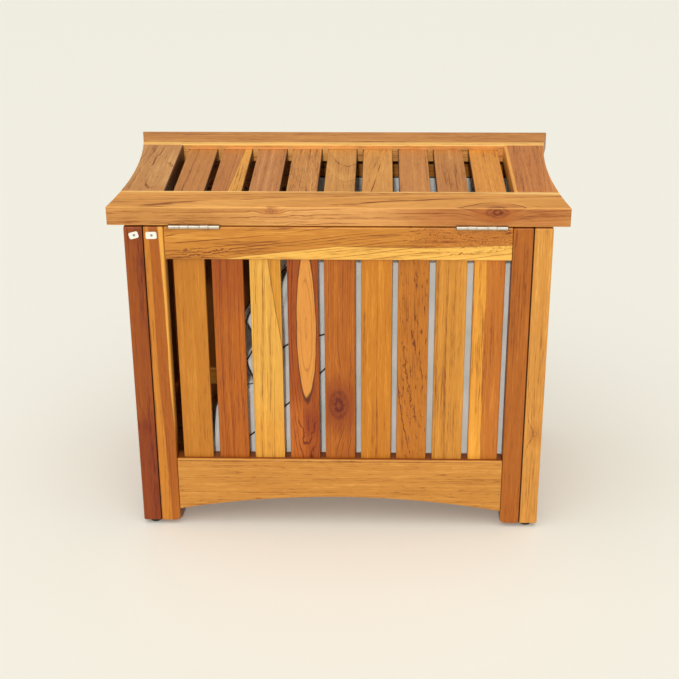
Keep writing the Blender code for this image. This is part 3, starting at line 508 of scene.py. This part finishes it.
def rear_face(tone, **more):
    """Return a zone for the rear face of one of the lid's rails."""
    return dict(tone=tone, line=(-0.98, -0.98), side=-1, soft=0.3, wobble=0.1, **more)


def other_boards():
    """Dress the rails, posts, stiles, end boards, ledgers and panels."""
    # The rail's rear face gets zones darker than its top: partly painted shade, as the light falls mostly
    # from above, and partly the wood's own change in tone from left to right.
    teak("lid_rear_rail", "XY", (226, 157, 80), 21, pith=(-0.02, -0.05), lean=(0.015, 0.03), lines=0.9,
         bands=0.9, knots=[((0.209, -0.0315, 0.007), 0.0100, 0.009, 0.9),
                           ((-0.087, -0.0325, 0.008), 0.0055, 0.004, 0.6)],
         figures=[((-0.08, -0.034, 0.0), (0.06, 0.02, 0.02), 0.010, 0.02)],
         zones=[rear_face((217, 161, 98)), rear_face((202, 145, 80), reach=(-1.1, -0.35), fade=0.08),
                rear_face((187, 120, 64), reach=(0.28, 1.1), fade=0.06),
                dict(line=(0.82, 0.86, 0.86, 0.84, 0.64), tone=(254, 210, 132), wobble=0.8, above=0.9)])
    teak("lid_front_rail", "XY", (206, 139, 73), 22, pith=(0.10, -0.02), lean=(0.01, 0.0), spacing=4.4,
         streaks=1.3, zones=[
             rear_face((230, 168, 98)),
             dict(line=(-0.62, -0.60, -0.58), side=-1, tone=(250, 200, 112), wobble=1.0, above=0.9)])
    teak("lid_end_left", "Y", (203, 144, 86), 23, pith=(0.03, -0.04), lean=(0.2, 0.1), blotches=1.0,
         joints=(1,), figures=[((0, 0, 0), (0.08, 0.03, 1), 0.008, 0.02)])
    teak("lid_end_right", "Y", (203, 129, 71), 24, pith=(-0.04, -0.02), lean=(0.05, 0.0), spacing=5.0,
         lines=0.7, zones=[
             dict(line=(-0.86, -0.84, -0.84), side=-1, tone=(250, 182, 88), wobble=1.0),
             dict(line=(0.75, 0.72, 0.62), tone=(218, 146, 76), soft=3.0)])
    teak("rear_top_rail", "X", (200, 132, 58), 25, pith=(0.035, -0.02), lean=(0.13, 0.02), lines=1.2,
         bands=0.9, figures=[((0.175, 0.010, 0), (0.085, 0.024, 1), 0.040, 0.006),
                             ((-0.175, -0.014, 0), (0.04, 0.012, 1), 0.014, 0.008)],
         zones=[dict(line=(0.6, 0.7, 1.0, -0.2, -0.2), tone=(190, 118, 54), wobble=6.0, soft=5.0,
                     strength=0.5, reach=(0.44, 1.1), fade=0.012),
                dict(line=(-1.6, -0.76, -0.16, -0.24, 0.0), side=-1, tone=(246, 194, 98), soft=0.8,
                     rim=0.4)])
    # The zone darkens the rail's top face behind its front edge, seen between the rear slats: partly painted
    # shade, partly the wood's own brown.
    teak("rear_bottom_rail", "X", (201, 138, 66), 26, pith=(-0.16, -0.03), spacing=3.4, lines=0.6, warp=3.0,
         flecks=0.2, zones=[dict(line=(0.985, 0.985), tone=(128, 64, 30), wobble=0.1, soft=0.2, above=-0.75)])
    teak("rear_stile_left", "Z", (172, 97, 35), 27, pith=(0.05, -0.02), joints=(-1,),
         zones=[dict(line=(0.2, 0.0, -0.34, -0.36, -0.38), side=-1, tone=(206, 136, 54), rim=0.1, wobble=1.0),
                dict(line=(1.2, 1.04, 0.74, 0.74, 0.45), tone=(242, 180, 84), rim=0.2)])
    teak("rear_stile_right", "Z", (175, 101, 42), 28, pith=(-0.06, -0.01), joints=(1,))
    teak("left_rear_post", "Z", (152, 80, 22), 29, pith=(0.05, 0.01), blotches=0.9, joints=(1,),
         zones=[dict(tone=(136, 66, 22), soft=1.0, reach=(-1.1, -0.28), fade=0.015)],
         knots=[((-0.070, -0.002, -0.014), 0.006, 0.01, 0.35)])
    teak("right_rear_post", "Z", (210, 145, 70), 30, pith=(0.05, -0.03), joints=(-1,),
         knots=[((-0.080, 0.003, -0.014), 0.0065, 0.01, 0.35)])
    teak("left_front_post", "Z", (156, 84, 38), 31, pith=(-0.05, 0.02))
    teak("right_front_post", "Z", (214, 148, 70), 32, pith=(0.07, 0.02))
    teak("front_stile_left", "Z", (212, 146, 66), 33, pith=(0.03, 0.05))
    teak("front_stile_right", "Z", (200, 130, 56), 34, pith=(-0.06, 0.04))
    teak("front_top_rail", "X", (190, 122, 56), 35, pith=(0.02, 0.05), lean=(0.03, 0.04), lines=0.8)
    teak("front_bottom_rail", "X", (206, 138, 60), 36, pith=(-0.04, 0.04), lean=(0.02, 0.05))
    for side, tone, seeds in (("left", (180, 102, 46), (37, 38, 41)),
                              ("right", (212, 144, 66), (39, 40, 42))):
        teak(side + "_top_rail", "YZ", tone, seeds[0], pith=(0.03, 0.04), lean=(0.05, 0.05))
        teak(side + "_bottom_rail", "YZ", tone, seeds[1], pith=(0.05, 0.03))
        teak(side + "_ledger", "YZ", (178, 104, 50), seeds[2], pith=(0.05, 0.03))
    slat_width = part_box("rear_slat_1")[1].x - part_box("rear_slat_1")[0].x
    # Each panel's face inside the box gets painted shade.
    for number, (name, axes, axis, count, inward) in enumerate((
            ("front_slat_panel", "Z", 0, 9, -1), ("left_slat_panel", "ZY", 1, 5, 1),
            ("right_slat_panel", "ZY", 1, 5, -1), ("floor_panel", "XY", 1, 5, 1))):
        low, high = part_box(name)
        pitch = (high[axis] - low[axis] - slat_width) / (count - 1)
        teak(name, axes, (210, 142, 66), 43 + number, pith=(0.01, 0.04), lean=(0.0, 0.08),
             rows=(count, pitch), inside=inward)


# Hardware ---

SCREW_LENGTH = 14.5 * MM
SCREW_HEAD = 2.65 * MM
SCREW_SHANK = 1.25 * MM
SCREW_SPOTS = ((-24 * MM, 9.5 * MM), (0, 14.5 * MM), (24 * MM, 9.5 * MM))
BOLT_HEAD = (6.0 * MM, 3.7 * MM)
BOLT_SHANK = 2.8 * MM
BOLT_REACH = 29.0 * MM
BOLT_LEVELS = (("lower", 0.140), ("upper", 0.380))
INSERT_RADIUS = 4.9 * MM
INSERT_BORE = 3.15 * MM
INSERT_LENGTH = 16 * MM


def add_piece(name, mesh, material, body, smooth_angle=35):
    """Add a piece made here, shaded smooth but for its sharp edges, that rides on a body."""
    mesh.materials.clear()
    mesh.materials.append(material)
    mesh.shade_smooth()
    mesh.set_sharp_from_angle(angle=math.radians(smooth_angle))
    piece = added(name, mesh)
    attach(piece, body)
    return piece


def around(radius, angle, height=0.0):
    """Return the point at a radius and an angle about Z."""
    return Vector((radius * math.cos(angle), radius * math.sin(angle), height))


def turned(name, profile, facets=32):
    """Turn a closed profile of (radius, height) points about Z, or an open one from axis to axis."""
    bm = bmesh.new()
    rings = []
    for radius, height in profile:
        count = 1 if radius == 0 else facets
        angles = [TURN * index / count for index in range(count)]
        rings.append([bm.verts.new(around(radius, angle, height)) for angle in angles])
    closed = profile[0][0] > 0
    for first, second in zip(rings, rings[1:] + rings[:1] if closed else rings[1:]):
        for index in range(facets):
            corners = [ring[(index + step) % len(ring)] for ring, step in (
                (first, 0), (first, 1), (second, 1), (second, 0))]
            bm.faces.new(list(dict.fromkeys(corners)))
    bmesh.ops.recalc_face_normals(bm, faces=bm.faces)
    return to_mesh(name, bm)


def threads(root, crest, top, bottom, pitch):
    """Return a thread's profile, as ridges from top to bottom."""
    profile = []
    for index in range(int((top - bottom) / pitch)):
        height = top - index * pitch
        profile += [(root, height), (crest, height - pitch * 0.45), (root, height - pitch * 0.9)]
    return profile


def evaluated(thing):
    """Return a new mesh of an object as its modifiers leave it."""
    return bpy.data.meshes.new_from_object(thing.evaluated_get(bpy.context.evaluated_depsgraph_get()))


def carved(mesh, cutter):
    """Return a mesh less another one."""
    holders = [added(part.name, part) for part in (mesh, cutter)]
    cut = holders[0].modifiers.new("cut", "BOOLEAN")
    cut.object = holders[1]
    bpy.context.view_layer.update()
    result = evaluated(holders[0])
    for holder in holders:
        bpy.data.objects.remove(holder)
    return result


def socket(name, sides, radius, depth, inner=None):
    """Return a hexagon key's tapered recess, or a cross driver's if an inner radius is given."""
    bm = bmesh.new()
    count = sides if inner is None else sides * 4
    rings = []
    for height, share in ((depth * 0.3, 1.0), (-depth, 0.86)):
        corners = []
        for index in range(count):
            angle = TURN * (index + 0.5) / count
            reach = radius if inner is None or index % 4 in (0, 3) else inner
            corners.append(bm.verts.new(around(reach * share, angle, height)))
        rings.append(corners)
    bm.faces.new(rings[0])
    bm.faces.new(reversed(rings[1]))
    for index in range(count):
        after = (index + 1) % count
        bm.faces.new((rings[0][after], rings[0][index], rings[1][index], rings[1][after]))
    bmesh.ops.recalc_face_normals(bm, faces=bm.faces)
    return to_mesh(name, bm)


def placed(mesh, place, direction, roll=0.0):
    """Return a copy of a mesh, its +Z turned to a direction and its origin moved to a place."""
    copy = mesh.copy()
    turn = Vector(direction).to_track_quat("Z", "Y").to_matrix().to_4x4()
    copy.transform(Matrix.Translation(place) @ turn @ Matrix.Rotation(roll, 4, "Z"))
    return copy


def add_hinge_screws(steel):
    """Add the twelve cross-headed screws that hold the hinges' leaves."""
    head = SCREW_HEAD
    shank = SCREW_SHANK
    screw = turned("hinge_screw", [(0, -0.05 * MM), (head - 0.3 * MM, -0.05 * MM), (head, -0.2 * MM),
                                   (shank, -1.5 * MM), (shank, -3 * MM)]
                   + threads(shank * 0.7, shank, -3 * MM, 2 * MM - SCREW_LENGTH, 1.1 * MM)
                   + [(shank * 0.6, 1.6 * MM - SCREW_LENGTH), (0, -SCREW_LENGTH)])
    screw = carved(screw, socket("cross", 4, 1.6 * MM, 1.1 * MM, inner=0.5 * MM))
    for side_name, side in (("left", -1), ("right", 1)):
        leaf_low, leaf_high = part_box("hinge_leaf_fixed_" + side_name)
        centre = (leaf_low.x + leaf_high.x) / 2
        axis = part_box("hinge_pin_" + side_name)
        axis_y = (axis[0].y + axis[1].y) / 2
        axis_z = (axis[0].z + axis[1].z) / 2
        for leaf, body, up in (("fixed", BODY, 1), ("lid", LID, -1)):
            for number, (x, y) in enumerate(SCREW_SPOTS, start=1):
                name = "hinge_screw_%s_%s_%d" % (leaf, side_name, number)
                place = (centre + x, axis_y + y, axis_z - up * 1.3 * MM)
                mesh = placed(screw, place, (0, 0, up), roll=0.4 * number + side)
                add_piece(name, mesh, steel, body)


def add_frame_bolts(steel):
    """Add the eight hexagon-socket bolts that hold the side frames, and their threaded inserts."""
    radius, height = BOLT_HEAD
    shank = BOLT_SHANK
    bolt = turned("frame_bolt", [(0, 0), (radius - 2.4 * MM, 0), (radius - 0.8 * MM, -0.7 * MM),
                                 (radius, -1.9 * MM), (radius, -height), (shank, -height), (shank, -12 * MM)]
                  + threads(shank * 0.85, shank, -12 * MM, 1 * MM - BOLT_REACH, 1.0 * MM)
                  + [(shank * 0.7, -BOLT_REACH), (0, -BOLT_REACH)])
    bolt = carved(bolt, socket("hexagon", 6, 2.3 * MM, 2.4 * MM))
    rim = INSERT_RADIUS - 0.4 * MM
    root = INSERT_RADIUS - 0.7 * MM
    insert = turned("insert", [(INSERT_BORE, 0), (rim, 0), (rim, -1 * MM)]
                    + threads(root, INSERT_RADIUS, -1 * MM, 1 * MM - INSERT_LENGTH, 2.2 * MM)
                    + [(root, -INSERT_LENGTH), (INSERT_BORE, -INSERT_LENGTH)])
    stile_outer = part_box("rear_stile_right")[1].x
    post_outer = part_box("right_rear_post")[1].x
    for side_name, side in (("left", -1), ("right", 1)):
        for end_name in ("rear", "front"):
            low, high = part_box("%s_stile_%s" % (end_name, side_name))
            depth = (low.y + high.y) / 2
            for level, height in BOLT_LEVELS:
                label = "%s_%s_%s" % (side_name, end_name, level)
                seat = (side * (post_outer - 1.2 * MM), depth, height)
                mesh = placed(bolt, seat, (side, 0, 0), roll=height * 9)
                add_piece("frame_bolt_" + label, mesh, steel, BODY)
                mouth = (side * (stile_outer - 0.1 * MM), depth, height)
                mesh = placed(insert, mouth, (side, 0, 0))
                add_piece("threaded_insert_" + label, mesh, steel, BODY)


def steel_material(name, shine=0.30, dark=srgb(176, 169, 157), light=srgb(226, 219, 205)):
    """Return satin stainless steel, with fine brushing along X."""
    material, g, shader = new_material(name)
    place = g.place()
    brushing = g.noise(g.stretch(place, 70, 2600))
    smudge = g.noise(g.stretch(place, 90))
    tone = g.total(0.5, g.about(brushing, 0.5), g.about(smudge, 0.6))
    rough = g.total(shine, g.about(brushing, 0.16), g.about(smudge, 0.10))
    g.paint(shader, g.mix(tone, dark, light), rough)
    shader.inputs["Metallic"].default_value = 1.0
    g.bump(shader, brushing, 0.2, 0.05)
    return material


def rubber_material(name, dark, light, rough, clear=0.0):
    """Return moulded rubber, faintly mottled, with a fine matt skin."""
    material, g, shader = new_material(name)
    place = g.place()
    skin = g.noise(g.stretch(place, 2400))
    dust = g.noise(g.stretch(place, 160), 3.0)
    tone = g.total(0.5, g.about(dust, 0.9), g.about(skin, 0.4))
    g.paint(shader, g.mix(tone, dark, light), g.total(rough, g.about(dust, 0.2)), 0.4)
    shader.inputs["Transmission Weight"].default_value = clear
    g.bump(shader, skin, 0.4, 0.06)
    return material


def label_material(node, tilt):
    """Return white label paper with one small grey dot a little off its middle."""
    material, g, shader = new_material(node + "_paper")
    low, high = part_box(node)
    place = g.vector("SUBTRACT", g.place(), tuple((low + high) / 2))
    fibres = g.noise(g.stretch(place, 1500), 3.0)
    shade = g.noise(g.stretch(place, 130))
    tone = g.total(0.5, g.about(fibres, 0.5), g.about(shade, 0.8))
    paper = g.mix(tone, srgb(228, 224, 208), srgb(250, 248, 238))
    off = (0.6 * MM * math.cos(tilt), 0, 0.6 * MM * math.sin(tilt))
    far = g.node("VectorMath", {0: g.vector("SUBTRACT", place, off)}, operation="LENGTH").outputs["Value"]
    wavy = g.total(far, g.about(g.noise(g.stretch(place, 1800), 1.0), 0.5 * MM))
    dot = g.step(wavy, 2.1 * MM, 1.5 * MM)
    colour = g.mix(g.times(dot, 0.85), paper, srgb(104, 106, 110))
    g.paint(shader, colour, g.total(0.55, g.about(fibres, 0.2)))
    g.bump(shader, fibres, 0.25, 0.05)
    return material


def add_hardware():
    """Dress the hinges, glides, bumpers and labels, and add what holds the stool together."""
    looks = {
        "hinge_leaf": steel_material("stainless_steel"),
        "hinge_pin": steel_material("pin_steel", 0.36, srgb(92, 84, 74), srgb(140, 131, 118)),
        "foot_glide": rubber_material("black_rubber", srgb(16, 15, 14), srgb(44, 41, 38), 0.72),
        "lid_bumper": rubber_material("clear_rubber", srgb(196, 196, 188), srgb(226, 226, 218), 0.36, 0.5),
    }
    for start, material in looks.items():
        for node in NODES:
            if node.startswith(start):
                dress(node, material)
    steel = steel_material("fixing_steel", 0.24)
    add_hinge_screws(steel)
    add_frame_bolts(steel)
    for node, tilt in (("post_label", 15), ("stile_label", 1)):
        dress(node, label_material(node, math.radians(tilt)))


# Liner ---

LINER_GRID = 9.5 * MM
LINER_HEM = 20 * MM
LINER_THICKNESS = 0.9 * MM
PIPING_RADIUS = 1.1 * MM
SETTLE_FRAMES = 45
BOX_HALF_LENGTH = 0.256
BOX_TOP = 0.46
BUNCH_DEPTH = 0.045
BUNCH_SAG = 0.03
RIPPLE_DEPTH = 0.012
SLACK_DEPTH = 0.004
FOLD_SEAMS = (
    ((-0.1330, 0.126), (-0.1235, 0.135), (-0.0723, 0.181), (-0.0248, 0.232), (-0.0150, 0.243)),
    ((-0.0830, 0.262), (-0.0746, 0.269), (-0.0676, 0.2735), (-0.0242, 0.289), (-0.0140, 0.292)),
)
HELD_REAR = -0.056
HELD_FRONT = -0.050
SLUMP_REAR = ((-0.187, 0.089), (-0.181, 0.124), (-0.176, 0.180), (-0.160, 0.206), (-0.118, 0.216),
              (-0.130, 0.250), (-0.113, 0.281), (-0.129, 0.312), (-0.112, 0.346), (-0.086, 0.374))
SLUMP_FRONT = ((-0.187, 0.089), (-0.176, 0.170), (-0.140, 0.240), (-0.105, 0.320), (-0.055, 0.405))


class Bag:
    """The liner's cloth: four walls and a bottom, as joined square grids."""

    def __init__(self):
        self.low, self.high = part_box("liner_bag")
        self.low = self.low + Vector((0, 0, 0.6 * MM))
        size = self.high - self.low
        self.counts = [max(2, round(length / LINER_GRID)) for length in size]
        self.bm = bmesh.new()
        self.uv = self.bm.loops.layers.uv.new("cloth")
        self.verts = {}
        across, deep, up = self.counts
        self.wall(lambda u, v: (u, 0, v), across, up, 0.0)
        self.wall(lambda u, v: (across, u, v), deep, up, size.x)
        self.wall(lambda u, v: (across - u, deep, v), across, up, size.x + size.y)
        self.wall(lambda u, v: (0, deep - u, v), deep, up, 2 * size.x + size.y)
        self.wall(lambda u, v: (u, deep - v, 0), across, deep, 0.0)

    def place(self, key):
        return tuple(low + (high - low) * step / count
                     for low, high, step, count in zip(self.low, self.high, key, self.counts))

    def vert(self, key):
        if key not in self.verts:
            self.verts[key] = self.bm.verts.new(self.place(key))
        return self.verts[key]

    def wall(self, key, columns, rows, start):
        for column in range(columns):
            for line in range(rows):
                steps = ((column, line), (column + 1, line), (column + 1, line + 1), (column, line + 1))
                face = self.bm.faces.new([self.vert(key(*step)) for step in steps])
                for loop, (u, v) in zip(face.loops, steps):
                    loop[self.uv].uv = (start + u * LINER_GRID, v * LINER_GRID)


def along(path, share):
    """Return the point at a share of the way along a path of points."""
    lengths = [(Vector(end) - Vector(start)).length for start, end in zip(path, path[1:])]
    left = share * sum(lengths)
    for start, end, length in zip(path, path[1:], lengths):
        if left <= length:
            break
        left -= length
    return Vector(start).lerp(Vector(end), min(1.0, left / length))


def slump(place, low, high):
    """Return where a point of the bag starts, with its left end slumped and bunched up."""
    up = (place.z - low.z) / (high.z - low.z)
    back = (place.y - low.y) / (high.y - low.y)
    ends = [along(path, up) for path in (SLUMP_REAR, SLUMP_FRONT)]
    end = ends[0].lerp(ends[1], back)
    held = HELD_REAR + (HELD_FRONT - HELD_REAR) * back
    moved = place.copy()
    if place.x < held:
        t = (place.x - low.x) / (held - low.x)
        moved.x = end.x + (held - end.x) * t
        moved.z = end.y + (place.z - end.y) * t
        bunched = 1 - (held - end.x) / (held - low.x)
        loop = BUNCH_DEPTH * bunched * math.sin(math.pi * t) * (1 if back < 0.5 else -1)
        if back in (0, 1):
            moved.y += loop
            moved.z -= BUNCH_SAG * bunched * math.sin(math.pi * t) * up
    loose = up * max(0.0, min(1.0, (held - moved.x) / 0.06 + 0.15))
    ripple = Vector([noise.noise(place * 26 + Vector((7 * axis, 3, 1))) for axis in range(3)])
    if 0 < back < 1 or place.x > low.x:
        moved += ripple * RIPPLE_DEPTH * loose
    slack = noise.noise(place * 11) * SLACK_DEPTH * math.sin(math.pi * up)
    moved.y += slack * (1 if back < 0.5 else -1)
    moved.y = max(low.y - 0.001, min(high.y + 0.001, moved.y))
    return moved


def collision_box(low, high):
    """Add the stool's inside as a temporary thing for the cloth to lie against."""
    bm = bmesh.new()
    bmesh.ops.create_cube(bm, size=1.0, matrix=Matrix.LocRotScale((low + high) / 2, None, high - low))
    bmesh.ops.reverse_faces(bm, faces=bm.faces)
    top = [face for face in bm.faces if face.calc_center_median().z > high.z - MM]
    bmesh.ops.delete(bm, geom=top, context="FACES_ONLY")
    bmesh.ops.subdivide_edges(bm, edges=bm.edges, cuts=9, use_grid_fill=True)
    box = added("box_inside", to_mesh("box_inside", bm))
    box.modifiers.new("collision", "COLLISION")
    box.collision.thickness_outer = 1.0 * MM
    box.collision.cloth_friction = 12
    return box


def settled(mesh, pinned):
    """Return the bag's mesh after its loose end has fallen under its own weight."""
    cloth = added("cloth", mesh)
    group = cloth.vertex_groups.new(name="pinned")
    group.add(pinned, 1.0, "REPLACE")
    modifier = cloth.modifiers.new("settle", "CLOTH")
    for holder, values in (
            (modifier.settings, dict(
                vertex_group_mass="pinned", quality=7, mass=0.18, tension_stiffness=25,
                compression_stiffness=12, shear_stiffness=6, bending_stiffness=0.12, air_damping=2.5)),
            (modifier.collision_settings, dict(
                collision_quality=3, distance_min=1.2 * MM, use_self_collision=True,
                self_distance_min=2.2 * MM)),
            (modifier.point_cache, dict(frame_start=1, frame_end=SETTLE_FRAMES))):
        for name, value in values.items():
            setattr(holder, name, value)
    low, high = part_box("liner_bag")
    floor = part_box("floor_panel")[1].z
    box = collision_box(Vector((-BOX_HALF_LENGTH, low.y - 2 * MM, floor - 0.4 * MM)),
                        Vector((BOX_HALF_LENGTH, high.y + 2 * MM, BOX_TOP)))
    for frame_number in range(1, SETTLE_FRAMES + 1):
        bpy.context.scene.frame_set(frame_number)
    result = evaluated(cloth)
    for extra in (cloth, box):
        bpy.data.objects.remove(extra)
    bpy.context.scene.frame_set(1)
    return result


def seam_lines(counts):
    """Return the bag's piped seams, each as the grid points along it."""
    across, deep, up = counts
    lines = {
        "mouth": [(i, 0, up) for i in range(across)] + [(across, i, up) for i in range(deep)]
                 + [(across - i, deep, up) for i in range(across)] + [(0, deep - i, up) for i in range(deep)],
    }
    for end, row in (("rear", 0), ("front", deep)):
        for side, column in (("left", 0), ("right", across)):
            lines["corner_%s_%s" % (end, side)] = [(column, row, i) for i in range(up + 1)]
    return lines


def thickened(mesh, hem_points):
    """Return the cloth smoothed and with its thickness, about double at the hem."""
    liner = added("liner_shell", mesh)
    hem = liner.vertex_groups.new(name="hem")
    hem.add(list(range(len(mesh.vertices))), 0.45, "REPLACE")
    hem.add(hem_points, 1.0, "REPLACE")
    liner.modifiers.new("smooth", "SUBSURF")
    shell = liner.modifiers.new("thickness", "SOLIDIFY")
    shell.thickness = 2 * LINER_THICKNESS
    shell.offset = 0
    shell.vertex_group = "hem"
    bpy.context.view_layer.update()
    final = evaluated(liner)
    bpy.data.objects.remove(liner)
    final.name = "liner"
    return final


def add_liner():
    """Add the cloth liner: pinned round the right of its mouth, its left end slumped inwards."""
    bag = Bag()
    low, high = bag.low, bag.high
    _, deep, up = bag.counts
    places = {key: bag.place(key) for key in bag.verts}
    for key, place in places.items():
        bag.verts[key].co = slump(Vector(place), low, high)
    bag.bm.verts.index_update()
    index_of = {key: vert.index for key, vert in bag.verts.items()}
    start = to_mesh("liner", bag.bm)
    pinned = [index_of[key] for key, place in places.items()
              if key[2] == up and place[0] > (HELD_REAR if key[1] == 0 else HELD_FRONT)
              or key[0] == 0 and key[1] in (0, deep)]
    mesh = settled(start, pinned)
    seams = {name: [mesh.vertices[index_of[key]].co.copy() for key in line]
             for name, line in seam_lines(bag.counts).items()}
    final = thickened(mesh, [index_of[key] for key in places if key[2] >= up - 2])
    cloth = add_piece("liner", final, liner_material(), BODY, 80)
    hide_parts("liner_bag")

    surface = BVHTree.FromPolygons([v.co for v in final.vertices], [p.vertices for p in final.polygons])
    for number, corners in enumerate(FOLD_SEAMS, start=1):
        seams["rear_wall_%d" % number] = laid(surface, corners, low.y - 0.02)
    black = piping_material()
    for name, line in seams.items():
        piping = tube("piping_" + name, line, PIPING_RADIUS, closed=name == "mouth")
        add_piece("liner_piping_" + name, piping, black, BODY, 60)


def laid(surface, corners, start_y, spacing=4 * MM):
    """Return a line of points laid on the bag's rear wall below a path of (x, z) corners."""
    points = []
    for (x, z), (next_x, next_z) in zip(corners, corners[1:]):
        steps = max(1, round(math.hypot(next_x - x, next_z - z) / spacing))
        for step in range(steps):
            share = step / steps
            source = Vector((x + (next_x - x) * share, start_y, z + (next_z - z) * share))
            hit = surface.ray_cast(source, Vector((0, 1, 0)))[0]
            if hit:
                points.append(hit - Vector((0, PIPING_RADIUS * 0.6, 0)))
    return points


def tube(name, line, radius, closed=False, sides=8):
    """Return a round tube along a line of points."""
    bm = bmesh.new()
    rings = []
    count = len(line)
    for index, place in enumerate(line):
        after = line[(index + 1) % count] if closed or index + 1 < count else place
        before = line[index - 1] if closed or index > 0 else place
        turn = (after - before).to_track_quat("Z", "Y")
        ring = []
        for corner in range(sides):
            ring.append(bm.verts.new(place + turn @ around(radius, TURN * corner / sides)))
        rings.append(ring)
    for first, second in zip(rings, rings[1:] + (rings[:1] if closed else [])):
        shift = min(range(sides), key=lambda step: (second[step].co - first[0].co).length)
        for index in range(sides):
            after = (index + 1) % sides
            facing = [second[(corner + shift) % sides] for corner in (after, index)]
            bm.faces.new((first[index], first[after], *facing))
    if not closed:
        bm.faces.new(rings[0])
        bm.faces.new(rings[-1])
    bmesh.ops.recalc_face_normals(bm, faces=bm.faces)
    return to_mesh(name, bm)


def liner_material():
    """Return light grey woven polyester, faintly creased, with a row of stitches below the hem."""
    material, g, shader = new_material("liner_fabric")
    cloth = g.node("UVMap", uv_map="cloth").outputs[0]
    place = g.place()
    u, v, _ = g.split(cloth)
    warp = g.math("SINE", g.times(u, TURN / (0.9 * MM)))
    weft = g.math("SINE", g.times(v, TURN / (0.9 * MM)))
    weave = g.times(warp, weft)
    thread = g.noise(g.stretch(cloth, 2200, 500, 1))
    clouds = g.noise(g.stretch(place, 16), 3.0)
    creases = g.noise(g.stretch(place, 42, 42, 30), 3.0, 0.6)
    tone = g.total(0.5, g.times(weave, 0.10), g.about(thread, 0.3), g.about(clouds, 1.7))
    colour = g.mix(tone, srgb(211, 220, 216), srgb(255, 255, 255))
    low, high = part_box("liner_bag")
    hem_edge = round((high.z - low.z) / LINER_GRID) * LINER_GRID - LINER_HEM
    off = g.math("ABSOLUTE", g.less(v, hem_edge))
    dash = g.step(g.math("SINE", g.times(u, TURN / (3.2 * MM))), -0.4, 0.2)
    stitch = g.times(g.step(off, 0.7 * MM, 0.2 * MM), dash)
    colour = g.mix(g.times(stitch, 0.5), colour, srgb(150, 152, 148))
    g.paint(shader, colour, 0.85, 0.25)
    shader.inputs["Sheen Weight"].default_value = 0.15
    fine = g.node("Bump", {
        "Height": g.total(weave, g.about(thread, 1.0)), "Strength": 0.25, "Distance": 0.12 * MM})
    rumpled = g.node("Bump", {
        "Height": g.total(creases, g.times(stitch, -0.15)), "Strength": 0.30, "Distance": 5 * MM,
        "Normal": fine.outputs[0]})
    g.put(shader.inputs["Normal"], rumpled.outputs[0])
    return material


def piping_material():
    """Return the black bias tape that binds the liner's seams."""
    material, g, shader = new_material("black_piping")
    place = g.place()
    thread = g.noise(g.stretch(place, 1400), 3.0)
    fade = g.noise(g.stretch(place, 40))
    tone = g.total(0.5, g.about(thread, 0.9), g.about(fade, 0.5))
    colour = g.mix(tone, srgb(20, 20, 20), srgb(52, 52, 50))
    g.paint(shader, colour, g.total(0.8, g.about(fade, 0.1)))
    g.bump(shader, thread, 0.4, 0.1)
    return material


# Assembly ---

add_camera()
add_studio()
seat_boards()
rear_boards()
other_boards()
add_hardware()
add_liner()
